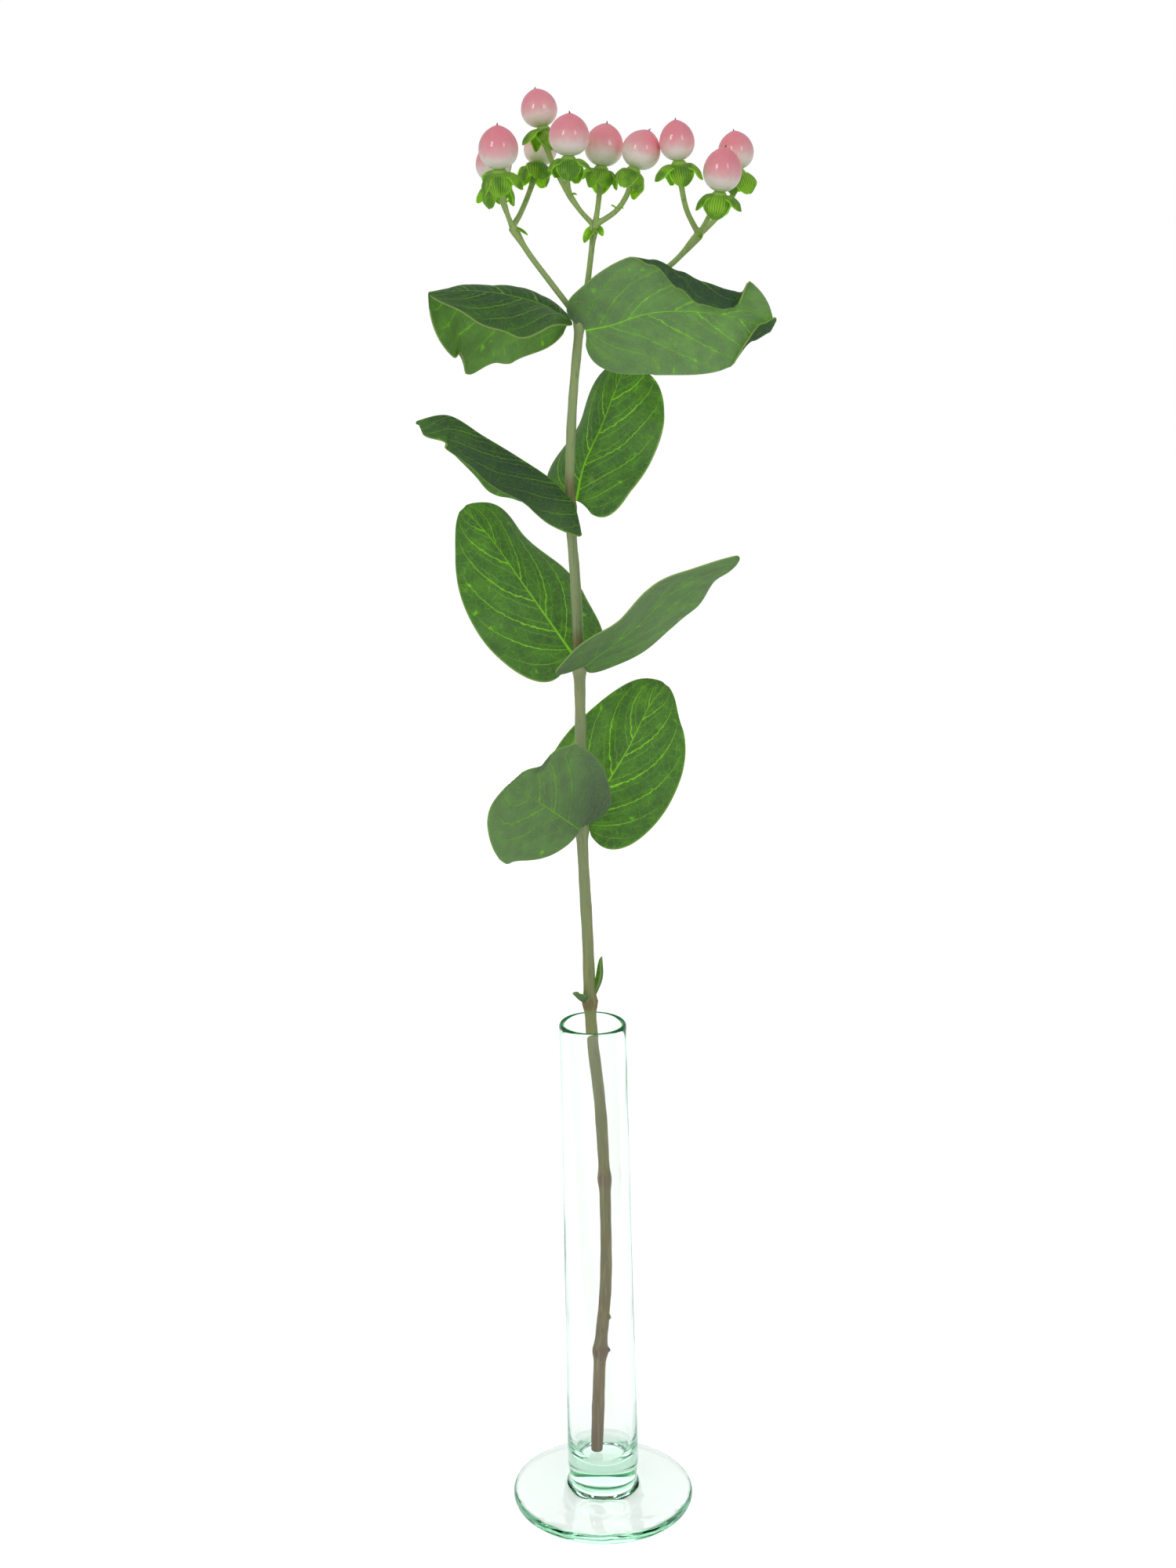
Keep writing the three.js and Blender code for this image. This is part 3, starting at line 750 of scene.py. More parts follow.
def smooth(piece: bpy.types.Object, degrees: float | None = None) -> None:
    """Shades a piece smooth.

    Args:
        piece: the object.
        degrees: edges sharper than this stay sharp, and with None all are smooth.
    """
    take(piece)
    if degrees is None:
        bpy.ops.object.shade_smooth()
    else:
        bpy.ops.object.shade_smooth_by_angle(angle=math.radians(degrees))


def hand_over(piece: bpy.types.Object, node: str) -> None:
    """Rides a finished piece on the arrangement in place of a CAD node, and reports it.

    Args:
        piece: the finished object.
        node: the node that it stands for.
    """
    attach(piece, "root")
    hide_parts(node)
    LOG.info("%s stands for %s with %d faces", piece.name, node, len(piece.data.polygons))


def ease(value: np.ndarray, start: float, end: float) -> np.ndarray:
    """Smooth step of numbers, 0 at `start` and 1 at `end`."""
    part = np.clip((value - start) / (end - start), 0.0, 1.0)
    return part * part * (3.0 - 2.0 * part)


def blend(values: Sequence, fraction: np.ndarray) -> np.ndarray:
    """Smooth run through evenly spaced values.

    Args:
        values: numbers or points.
        fraction: places from 0 to 1.

    Returns:
        One value for each place.
    """
    table = np.asarray(values, float)
    if len(table) == 1:
        return np.repeat(table, len(fraction), axis=0)
    place = fraction * (len(table) - 1)
    first = np.minimum(place.astype(int), len(table) - 2)
    part = ease(place - first, 0.0, 1.0)
    part = part.reshape(part.shape + (1,) * (table.ndim - 1))
    return table[first] * (1.0 - part) + table[first + 1] * part


def unit(vectors: np.ndarray) -> np.ndarray:
    """Vectors at length 1."""
    return vectors / np.linalg.norm(vectors, axis=-1, keepdims=True)


@dataclass
class Line:
    """A smooth line through points, read by the fraction of its length."""

    points: list[Point]
    steps: int = 24
    near: float = 0.004
    track: np.ndarray = field(init=False)
    reach: np.ndarray = field(init=False)

    def __post_init__(self) -> None:
        """Samples the centripetal spline once."""
        given = np.asarray(self.points, float)
        ends = [2 * given[0] - given[1], *given, 2 * given[-1] - given[-2]]
        parts = [self._stretch(*ends[i:i + 4]) for i in range(len(given) - 1)]
        self.track = np.vstack([*parts, given[-1:]])
        steps = np.linalg.norm(np.diff(self.track, axis=0), axis=1)
        self.reach = np.concatenate([[0.0], np.cumsum(steps)])

    def _stretch(self, a: np.ndarray, b: np.ndarray, c: np.ndarray, d: np.ndarray) -> np.ndarray:
        """Samples the spline from `b` to `c`, the end left out.

        Args:
            a: the point before.
            b: the start.
            c: the end.
            d: the point after.

        Returns:
            Points at even steps.
        """
        pairs = ((a, b), (b, c), (c, d))
        before, here, after = (max(np.sum((q - p) ** 2) ** 0.25, 1e-4) for p, q in pairs)
        leave = ((b - a) / before - (c - a) / (before + here) + (c - b) / here) * here
        arrive = ((c - b) / here - (d - b) / (here + after) + (d - c) / after) * here
        w = np.arange(self.steps)[:, None] / self.steps
        return (b + leave * w + (3 * (c - b) - 2 * leave - arrive) * w**2
                + (2 * (b - c) + leave + arrive) * w**3)

    @property
    def length(self) -> float:
        """The line's length."""
        return float(self.reach[-1])

    def at(self, fraction: np.ndarray) -> np.ndarray:
        """Points at fractions of the length."""
        place = fraction * self.length
        return np.stack([np.interp(place, self.reach, self.track[:, i]) for i in range(3)], axis=-1)

    def heading(self, fraction: np.ndarray) -> np.ndarray:
        """Unit tangents at fractions of the length."""
        ahead, behind = np.minimum(fraction + self.near, 1.0), np.maximum(fraction - self.near, 0.0)
        return unit(self.at(ahead) - self.at(behind))


# ---------------------------------------------------------------- vase


@dataclass
class Vase:
    """One piece of blown glass: a thick disc foot, a solid base and a leaning, tapered tube."""

    height: float = 200.0
    foot_radius: float = 35.6
    foot_edge: float = 4.0
    foot_rise: float = 3.2
    tube_radius: float = 13.9
    rim_radius: float = 12.65
    wall: float = 2.0
    floor: float = 18.0
    lean: float = 4.2
    segments: int = 128

    def section(self) -> list[tuple[float, float]]:
        """Half the section, from the foot's underside over the rim to the floor inside.

        Returns:
            Pairs of radius and height.
        """
        foot, tube, rim = self.foot_radius, self.tube_radius, self.rim_radius
        edge, floor, top = self.foot_edge, self.floor, self.height
        waist = edge + self.foot_rise
        taper = [(rim + 0.55, top - 100.0), (rim + 0.25, top - 60.0), (rim + 0.05, top - 25.0)]
        outer = [
            (6.0, 0.9), (14.0, 0.7), (22.0, 0.05), (foot - 3.4, 0.0), (foot - 1.8, 0.0),
            (foot - 0.8, 0.35), (foot - 0.2, 1.1), (foot, 2.0), (foot - 0.15, 2.9),
            (foot - 0.7, 3.6), (foot - 1.8, edge), (foot - 5.0, edge + 0.3),
            (tube + 10.0, edge + 0.9), (tube + 4.0, edge + self.foot_rise * 0.6),
            (tube + 1.4, edge + self.foot_rise * 0.8),
            (tube + 0.2, waist), (tube - 0.5, waist + 1.0), (tube - 0.7, waist + 2.4),
            (tube - 0.5, waist + 4.2), (tube, floor - 3.0), (tube + 0.05, floor + 1.0),
            (tube, floor + 6.0), (tube - 0.2, floor + 16.0), (tube - 0.5, floor + 34.0), *taper,
            (rim, top - 6.0), (rim + 0.1, top - 1.8), (rim, top - 0.7), (rim - 0.4, top - 0.15),
            (rim - self.wall / 2, top)]
        bore = [
            (rim + 0.4, top - 0.25), (rim + 0.1, top - 0.8), (rim, top - 2.2), *reversed(taper),
            (tube - 0.5, floor + 34.0), (tube - 0.4, floor + 16.0), (tube - 0.5, floor + 8.0),
            (tube - 1.0, floor + 4.2), (tube - 2.2, floor + 1.8), (tube - 4.5, floor + 0.6),
            (tube - 8.0, floor + 0.15)]
        return [*outer, *((radius - self.wall, z) for radius, z in bore), (0.6, floor)]

    def shift(self, z: float) -> float:
        """How far the vase's middle stands to the left at a height."""
        return -self.lean * max(0.0, z - self.floor) / (self.height - self.floor)

    def build(self, glass: bpy.types.Material) -> None:
        """Draws the glass up ring by ring, as its section says.

        Args:
            glass: the glass finish.
        """
        section = self.section()
        radius, z = section[0]
        vase = add(bpy.ops.mesh.primitive_circle_add, "vase_blown_glass", vertices=self.segments,
                   radius=radius * MM, fill_type="NGON", location=(0.0, 0.0, z * MM))
        settle(vase)
        bpy.ops.object.mode_set(mode="EDIT")
        bpy.ops.mesh.select_all(action="SELECT")
        for next_radius, next_z in section[1:]:
            move = ((self.shift(next_z) - self.shift(z)) * MM, 0.0, (next_z - z) * MM)
            bpy.ops.mesh.extrude_region_move(TRANSFORM_OT_translate={"value": move})
            ratio = next_radius / radius
            middle = (self.shift(next_z) * MM, 0.0, next_z * MM)
            bpy.ops.transform.resize(value=(ratio, ratio, 1.0), center_override=middle)
            radius, z = next_radius, next_z
        bpy.ops.mesh.select_all(action="SELECT")
        bpy.ops.mesh.normals_make_consistent(inside=False)
        bpy.ops.object.mode_set(mode="OBJECT")
        apply_modifier(vase, "SUBSURF", levels=1, render_levels=1)
        self._hand_made(vase)
        smooth(vase)
        vase.data.materials.append(glass)
        hand_over(vase, "vase")

    def _hand_made(self, vase: bpy.types.Object) -> None:
        """Gives the tube and the foot the small waves of free-blown glass.

        Args:
            vase: the smooth vase.
        """
        tube_starts, tube_settles, foot_edge_starts = 6.0, 36.0, 30.0
        oval_depth, tube_wave_depth, foot_wave_depth = 0.09, 0.06, 0.12
        for vertex in vase.data.vertices:
            place = vertex.co / MM
            turn = math.atan2(place.y, place.x - self.shift(place.z))
            above = min(max((place.z - tube_starts) / (tube_settles - tube_starts), 0.0), 1.0)
            oval = oval_depth * math.sin(2 * turn + place.z / 31.0)
            wave = (oval + tube_wave_depth * math.sin(3 * turn - place.z / 13.0)) * above
            if place.xy.length > foot_edge_starts:
                wave += foot_wave_depth * math.sin(5 * turn + 0.6) * (1.0 - above)
            vertex.co.x += wave * MM * math.cos(turn)
            vertex.co.y += wave * MM * math.sin(turn)


# ---------------------------------------------------------------- leaves


@dataclass(frozen=True)
class Fold:
    """A strip of a leaf that is turned over, beyond the crease `at`, from `start` to `end`."""

    at: tuple[float, ...]
    over: float
    angle: float
    start: float
    end: float
    soft: float


@dataclass(frozen=True)
class Half:
    """One half of a leaf, beside the midrib."""

    half: float
    wide: float = 0.75
    lobe: float = 0.0
    blunt: float = 0.6
    lift: tuple[float, ...] = (0.0,)
    curl: tuple[float, ...] = (0.0,)
    folds: tuple[Fold, ...] = ()


@dataclass(frozen=True)
class Blade:
    """A leaf or sepal: its midrib, the way its upper side looks along it, and its two halves."""

    rib: list[Point]
    face: list[Point]
    left: Half
    right: Half
    wave: float = 0.0
    waves: float = 2.5
    phase: float = 0.0
    quilt: float = 0.0
    ends: tuple[float, float] = (0.004, 0.995)

    def surface(self, grid: Grid) -> tuple[np.ndarray, np.ndarray]:
        """Points of the blade's middle surface.

        Args:
            grid: steps from the foot to the tip, and from the midrib to each margin.

        Returns:
            Points by row and column, from the left margin to the right one, and each point's
            distance along and out from the midrib in millimetres.
        """
        rows, cells = grid
        line = Line(self.rib)
        eased = (1.0 - np.cos(np.pi * np.arange(rows + 1) / rows)) / 2.0
        along = self.ends[0] + (self.ends[1] - self.ends[0]) * eased
        middle = line.at(along)
        tangent = line.heading(along)
        up = blend(self.face, along)
        up = unit(up - tangent * np.sum(up * tangent, axis=1, keepdims=True))
        sideways = np.cross(tangent, up)
        sheets, spans = [], []
        for half, sign in ((self.left, -1.0), (self.right, 1.0)):
            width = half.half * np.sin(np.pi * along**half.wide) ** half.blunt
            out, rise, across = self._section(half, along, cells)
            back = half.lobe * width[:, None] * across**1.6 * (1.0 - along[:, None]) ** 4
            swell = self._relief(along[:, None], across * sign)
            sheet = (middle[:, None, :]
                     + sideways[:, None, :] * (sign * out * width[:, None])[..., None]
                     + up[:, None, :] * (rise * width[:, None] + swell)[..., None]
                     - tangent[:, None, :] * back[..., None])
            sheets.append(sheet)
            spans.append(np.stack([along[:, None] * line.length - back,
                                   sign * across * width[:, None]], axis=-1))
        points = np.concatenate([sheets[0][:, ::-1], sheets[1][:, 1:]], axis=1)
        spread = np.concatenate([spans[0][:, ::-1], spans[1][:, 1:]], axis=1)
        return points, spread

    def _section(self, half: Half, along: np.ndarray,
                 cells: int) -> tuple[np.ndarray, np.ndarray, np.ndarray]:
        """Cross-sections of one half.

        Args:
            half: the half.
            along: fractions of the blade's length.
            cells: steps from the midrib to the margin.

        Returns:
            How far each point stands out from the midrib and up over it, and its place between
            the midrib, 0, and the margin, 1, all in half-widths.
        """
        fine = 8
        steps = cells * fine
        across = (np.arange(steps) + 0.5) / steps
        angle = blend(half.lift, along)[:, None] + blend(half.curl, along)[:, None] * across
        for fold in half.folds:
            strength = (ease(along - fold.start, 0.0, fold.soft)
                        * ease(fold.end - along, 0.0, fold.soft))
            part = np.clip((along - fold.start) / (fold.end - fold.start), 0.0, 1.0)
            beyond = across - blend(fold.at, part)[:, None]
            angle = angle + fold.angle * strength[:, None] * ease(beyond, 0.0, fold.over)
        angle = np.radians(angle)
        zero = np.zeros((len(along), 1))
        out = np.hstack([zero, np.cumsum(np.cos(angle), axis=1) / steps])[:, ::fine]
        rise = np.hstack([zero, np.cumsum(np.sin(angle), axis=1) / steps])[:, ::fine]
        return out, rise, np.arange(cells + 1)[None, :] / cells

    def _relief(self, along: np.ndarray, across: np.ndarray) -> np.ndarray:
        """Waves of the margin and the pillowed skin between the side veins.

        Args:
            along: fraction of the way from the foot to the tip.
            across: place from the left margin, -1, to the right one, 1.

        Returns:
            The rise over the smooth blade in millimetres.
        """
        out = np.abs(across)
        side = np.where(across > 0, 1.7, 0.0)
        body = np.sin(np.pi * along)
        turn = 2 * np.pi * (self.waves * along + self.phase) + side
        margin = self.wave * np.sin(turn) * out**2 * body
        number = VEINS.number(along, across)
        pillow = np.abs(np.sin(np.pi * (number - 0.5))) ** 0.7
        inside = np.sqrt(body) * ease(out, 0.0, 0.25) * (1.0 - 0.7 * out)
        return margin + self.quilt * (pillow - 0.6) * inside

    def build(self, name: str, grid: Grid, thickness: float,
              finishes: Sequence[bpy.types.Material]) -> bpy.types.Object:
        """Shapes a grid into the blade and gives it a thickness.

        Args:
            name: the object's name.
            grid: steps from the foot to the tip, and from the midrib to each margin.
            thickness: millimetres.
            finishes: the finishes of the upper side and of the underside.

        Returns:
            The blade, its upper side in slot 0 and its underside in slot 1.
        """
        rows, cells = grid
        piece = add(bpy.ops.mesh.primitive_grid_add, name, x_subdivisions=rows,
                    y_subdivisions=2 * cells, size=2.0)
        piece.data.name = name
        points, spread = self.surface(grid)
        row = [round((v.co.x + 1.0) / 2.0 * rows) for v in piece.data.vertices]
        column = [round((1.0 - v.co.y) * cells) for v in piece.data.vertices]
        piece.data.vertices.foreach_set("co", (points[row, column] * MM).ravel())
        self._map(piece, np.array(row) / rows, np.array(column) / (2 * cells), spread[row, column])
        for finish in finishes:
            piece.data.materials.append(finish)
        piece.data.update()
        apply_modifier(piece, "SOLIDIFY", thickness=thickness * MM, offset=0.0, material_offset=1,
                       use_even_offset=False)
        return piece

    @staticmethod
    def _map(piece: bpy.types.Object, along: np.ndarray, across: np.ndarray,
             spread: np.ndarray) -> None:
        """Lays the blade's two UV maps.

        Args:
            piece: the blade.
            along: each vertex's fraction of the length.
            across: its fraction of the breadth, from the left margin.
            spread: its distances along and out from the midrib in millimetres.
        """
        mesh = piece.data
        corners = np.zeros(len(mesh.loops), int)
        mesh.loops.foreach_get("vertex_index", corners)
        mesh.uv_layers.active.name = "span"
        mesh.uv_layers.new(name="spread")
        measured = spread * SPREAD_SCALE + (0.0, SPREAD_MIDRIB)
        for layer, values in (("span", np.stack([along, across], axis=1)), ("spread", measured)):
            mesh.uv_layers[layer].data.foreach_set("uv", values[corners].ravel())


LEAVES: dict[str, Blade] = {
    "leaf_1_left": Blade(
        rib=[(-9.2, 4, 274.2), (-14.9, -2, 280), (-20.4, -11, 286.4), (-25.3, -20, 292.2),
             (-29.3, -28, 297.4), (-31.5, -30, 302.5)],
        face=[(-0.74, 0.65, 0.29)],
        left=Half(25.5, 0.88, 0.9, 0.45), right=Half(25, 1.4, 0.3, 0.42),
        wave=1.6, waves=2.2, phase=0.1, quilt=0.5),
    "leaf_1_right": Blade(
        rib=[(-7.2, 10, 274.4), (-1.6, 16, 284), (8.7, 22, 300), (17.1, 24, 316.7),
             (23.1, 22, 325.2)],
        face=[(-0.2, -1, 0.3), (0, -1, 0.2), (0, -1, 0.1)],
        left=Half(24, 0.7, 0.8, 0.6, (0, -8, -10), (-8, -16, -30)),
        right=Half(24, 0.75, 0.8),
        wave=1.2, waves=2.0, phase=0.4, quilt=0.5),
    "leaf_2_left": Blade(
        rib=[(-12, 9.5, 339.4), (-19.2, 14, 349), (-29.8, 20, 363.1), (-42.9, 22, 381.3),
             (-51.6, 20, 391)],
        face=[(0.2, -1, 0.3), (0, -1, 0.2), (0, -1, 0.1)],
        left=Half(24, 0.75, 0.8),
        right=Half(22, 0.75, 0.8, 0.6, (-15, -25, -35, -10), (-10, -25, -40, -20)),
        wave=1.2, waves=2.3, phase=0.7, quilt=0.5),
    "leaf_2_right": Blade(
        rib=[(-7.4, 4, 335.6), (2.2, -2, 344.2), (12.1, -8, 353.3), (28.5, -17, 370.7),
             (45.9, -24, 380)],
        face=[(-0.4, 0.55, 0.7)],
        left=Half(22, 0.75, 0.8, 0.6, (0,), (5, 5, 0)),
        right=Half(21, 0.75, 1, 0.6, (-2, -7, -12), (-5, -8, 0)),
        wave=1.0, waves=2.6, phase=0.2, quilt=0.45),
    "leaf_3_left": Blade(
        rib=[(-11, 2, 394.9), (-18.7, -3, 403.5), (-29.7, -10, 411.9), (-41.8, -18, 420.2),
             (-54, -23.5, 427.8), (-64, -27, 426)],
        face=[(0.5, -0.1, 0.8), (-0.1, -0.4, 1), (0, -0.4, 1)],
        left=Half(15, 0.42, 0.5, 0.2, (-10, -20, -20, -20, -20), (-30, -90, -110, -70, -10)),
        right=Half(16, 0.6, 0.3, 0.4, (-30, -45, -65, -40, -15), (-20, -50, -50, -50, -60)),
        wave=1.0, waves=2.5, phase=0.55, quilt=0.5),
    "leaf_3_right": Blade(
        rib=[(-10.2, 8.5, 394.8), (-7.4, 14, 406.9), (-0.9, 18, 421), (3.6, 20, 432.5),
             (8, 20, 443)],
        face=[(-0.2, -1, 0.3), (0, -1, 0.2), (0, -1, 0.1)],
        left=Half(21, 0.75, 0.5, 0.6, (-10, -35, -30), (-30, -60, -30)),
        right=Half(22, 1.0, 0.65, 0.28, (0, 5, 0), (15, 15, 0)),
        wave=1.2, waves=2.4, phase=0.3, quilt=0.5),
    "leaf_4_left": Blade(
        rib=[(-12.2, 5.2, 457.8), (-22, 3, 463.6), (-35, 0, 467.2), (-48, -4, 468.6),
             (-60.5, -7, 468)],
        face=[(-0.1, -0.1, 1), (0, -0.1, 1), (0.2, -0.2, 1)],
        left=Half(21, 0.64, 0, 0.6, (15, -30, -20), (-40, -15, 0)),
        right=Half(
            43, 0.92, 0.1, 0.42, (45, 40, 25, 0), (-60, -50, -45, -40),
            (Fold((0,), 0.4, -80, -1, 2, 0.5),
             Fold((0.9, 0.85, 0.84, 0.92), 0.12, -110, 0.58, 0.84, 0.14))),
        wave=1.0, waves=2.5, phase=0.0, quilt=0.45),
    "leaf_4_right": Blade(
        rib=[(-7, 2, 455), (2, -3, 457), (14, -7, 461), (28, -9, 462), (44, -10, 460),
             (57, -7, 455.5)],
        face=[(0, 1, 0.1)],
        left=Half(21.8, 1.0, 0.3, 0.34, (0,), (0, -10, -20),
                  (Fold((1, 0.35, 0, 0), 0.15, -150, 0.84, 1.1, 0.03),)),
        right=Half(20.6, 0.78, 0.65, 0.55, (-10, 0, 0), (-35, -10, -20),
                   (Fold((1, 0.82, 0.62, 0.5, 0.48, 0.55), 0.15, -165, 0.33, 0.81, 0.03),)),
        wave=0.8, waves=2.3, phase=0.15, quilt=0.45),
}

SMALL_LEAVES: dict[str, Blade] = {
    "leaf_0_left": Blade(
        rib=[(-7.6, 6.6, 205.5), (-9.4, 4.4, 207.6), (-11.6, 2.8, 210.5)], face=[(0, 0, 1)],
        left=Half(3.2, 0.75, 0, 0.6, (35,), (30,)), right=Half(3.2, 0.75, 0, 0.6, (35,), (30,))),
    "leaf_0_right": Blade(
        rib=[(-3.4, 9, 207), (-0.6, 10.5, 214), (-0.8, 10.6, 222.5)], face=[(-1, -0.3, 0.2)],
        left=Half(3, 0.85, 0, 0.6, (25,), (25,)), right=Half(3, 0.85, 0, 0.6, (25,), (25,))),
}


@dataclass
class Foliage:
    """The clasping leaves, in opposite pairs, and two tiny ones above the vase."""

    thickness: float = 0.5
    grid: Grid = (110, 34)
    small_grid: Grid = (24, 6)
    sharp: float = 50.0

    def build(self, upper: bpy.types.Material, under: bpy.types.Material) -> None:
        """Builds every leaf in place of its node.

        Args:
            upper: finish of the upper sides.
            under: finish of the undersides.
        """
        for blades, grid in ((LEAVES, self.grid), (SMALL_LEAVES, self.small_grid)):
            for node, blade in blades.items():
                name = node.replace("leaf", "clasping_leaf")
                leaf = blade.build(name, grid, self.thickness, [upper, under])
                smooth(leaf, self.sharp)
                hand_over(leaf, node)


# ---------------------------------------------------------------- fruits


@dataclass(frozen=True)
class Fruit:
    """One fruit: where its berry stands, its upper pole, its width, and its pedicel's course."""

    foot: Point
    top: Point
    width: float
    start: Point
    via: list[Point]
    turn: float

    @property
    def axis(self) -> Vector:
        """Direction from the berry's foot to its upper pole."""
        return (Vector(self.top) - Vector(self.foot)).normalized()

    def carry(self, piece: bpy.types.Object, spin: float = 0.0) -> None:
        """Stands an upright piece on the fruit's foot, in line with its axis.

        Args:
            piece: the piece, its foot at the origin.
            spin: degrees by which it is first turned about its own axis.
        """
        about_axis = Quaternion(UP, math.radians(spin))
        piece.rotation_mode = "QUATERNION"
        piece.rotation_quaternion = UP.rotation_difference(self.axis) @ about_axis
        piece.location = Vector(self.foot) * MM
        settle(piece)


FORK_LEFT: Point = (-31.8, -5, 489.9)
FORK_CENTRE: Point = (-3.8, 2, 490.3)
FORK_RIGHT: Point = (32.4, 6, 487.2)
SIDE_FORK_LEFT: Point = (-34.4, -8, 497.2)
SIDE_FORK_CENTRE: Point = (-12.3, -2, 500.3)

FRUITS: list[Fruit] = [
    Fruit((-21.5, 3, 522.8), (-24, 4.8, 535.1), 12.4, SIDE_FORK_CENTRE,
          [(-16.9, 1, 508.5), (-20.2, 2.6, 516.5)], -70),
    Fruit((-35.7, -14.3, 508.6), (-36.1, -16.9, 522.3), 13.3, SIDE_FORK_LEFT,
          [(-35.4, -11.6, 502)], -90),
    Fruit((-23.3, 13.4, 511.2), (-21.6, 19.4, 521.6), 11.6, FORK_LEFT,
          [(-29.6, -0.5, 493.5), (-26.6, 7.4, 500.6)], -75),
    Fruit((-37.4, 0.4, 504.8), (-39.2, 3, 517.2), 12.4, SIDE_FORK_LEFT,
          [(-35.9, -4, 499.6)], 10),
    Fruit((-12.5, -12, 512.8), (-12.1, -12.2, 526.4), 13.8, SIDE_FORK_CENTRE,
          [(-12.9, -7, 504.4)], -88),
    Fruit((-1.4, 7, 510), (0.4, 8.6, 524), 13.4, FORK_CENTRE,
          [(-3, 3.4, 494), (-2.1, 5.4, 501)], -60),
    Fruit((9.8, -1, 509.2), (14.6, 0.6, 521.4), 13.2, FORK_CENTRE,
          [(4, 2, 495.6), (7.8, 1, 501.6)], -35),
    Fruit((24.7, -3, 511.6), (23.4, -4.4, 524.6), 11.9, FORK_RIGHT,
          [(27.9, 1.6, 495.4), (25.9, -1.6, 503)], -80),
    Fruit((38.6, -7, 501.4), (40.2, -8.6, 515.6), 13.2, FORK_RIGHT,
          [(34.6, 1, 491.6), (36.4, -3.4, 495.4)], -100),
    Fruit((46, 13.8, 509), (44.4, 14.6, 521.8), 12.5, FORK_RIGHT,
          [(39, 9.6, 493.4), (44, 12.6, 500)], -60),
]


@dataclass
class Berries:
    """Egg-shaped berries with three faint seams and the stub of the style on top."""

    segments: int = 48
    rings: int = 40
    low_bulge: float = 0.07
    seam_depth: float = 0.02
    peak_rise: float = 0.03
    peak_breadth: float = 0.5
    skin_top: float = 0.95
    style_foot: float = 1.02
    style_radius: float = 0.045
    style_length: float = 0.055
    style_bend: float = 0.06
    spin: float = 47.0
    sharp: float = 50.0

    def build(self, skin: bpy.types.Material) -> None:
        """Shapes one berry and sets a copy of it on every calyx.

        Args:
            skin: the berry finish.
        """
        pattern = self._pattern()
        pattern.data.materials.append(skin)
        for number, fruit in enumerate(FRUITS, 1):
            berry = pattern.copy()
            berry.data = pattern.data.copy()
            berry.name = f"ripe_berry_{number:02d}"
            bpy.context.collection.objects.link(berry)
            height = (Vector(fruit.top) - Vector(fruit.foot)).length
            berry.scale = (fruit.width / 2 * MM, fruit.width / 2 * MM, height * MM)
            fruit.carry(berry, self.spin * number)
            hand_over(berry, f"berry_{number:02d}")
        bpy.data.objects.remove(pattern)

    def _pattern(self) -> bpy.types.Object:
        """One upright berry, 1 high and 1 in radius, with its height in its UV map.

        Returns:
            The berry to copy.
        """
        berry = add(bpy.ops.mesh.primitive_uv_sphere_add, "berry_pattern", segments=self.segments,
                    ring_count=self.rings, radius=1.0)
        for vertex in berry.data.vertices:
            polar = math.acos(max(-1.0, min(1.0, -vertex.co.z)))
            turn = math.atan2(vertex.co.y, vertex.co.x)
            breadth = math.sin(polar) * (1 + self.low_bulge * math.cos(polar))
            groove = (0.5 + 0.5 * math.cos(3 * turn)) ** 6 * math.sin(polar)
            radius = breadth * (1.0 - self.seam_depth * groove)
            up = (1 - math.cos(polar)) / 2
            if up > 0.5:
                up += self.peak_rise * max(0.0, 1.0 - breadth / self.peak_breadth) ** 1.5
            vertex.co = (math.cos(turn) * radius, math.sin(turn) * radius, up)
        style = self._style()
        for piece in (berry, style):
            mesh = piece.data
            span = mesh.uv_layers.active
            span.name = "span"
            for corner, loop in zip(span.data, mesh.loops):
                up = mesh.vertices[loop.vertex_index].co.z * self.skin_top
                corner.uv.y = 1.0 if piece is style else up
        berry = join([berry, style], "berry_pattern")
        smooth(berry, self.sharp)
        return berry

    def _style(self) -> bpy.types.Object:
        """The dry hair of the style, bent over on the berry's peak.

        Returns:
            The hair, at the pattern's scale.
        """
        style = add(bpy.ops.mesh.primitive_cone_add, "style_hair", vertices=8,
                    radius1=self.style_radius, radius2=self.style_radius * 0.4,
                    depth=self.style_length,
                    location=(0.0, 0.0, self.style_foot + self.style_length / 2))
        bpy.ops.object.mode_set(mode="EDIT")
        bpy.ops.mesh.subdivide(number_cuts=2)
        bpy.ops.object.mode_set(mode="OBJECT")
        settle(style)
        for vertex in style.data.vertices:
            up = (vertex.co.z - self.style_foot) / self.style_length
            vertex.co.x += self.style_bend * up**2
        return style


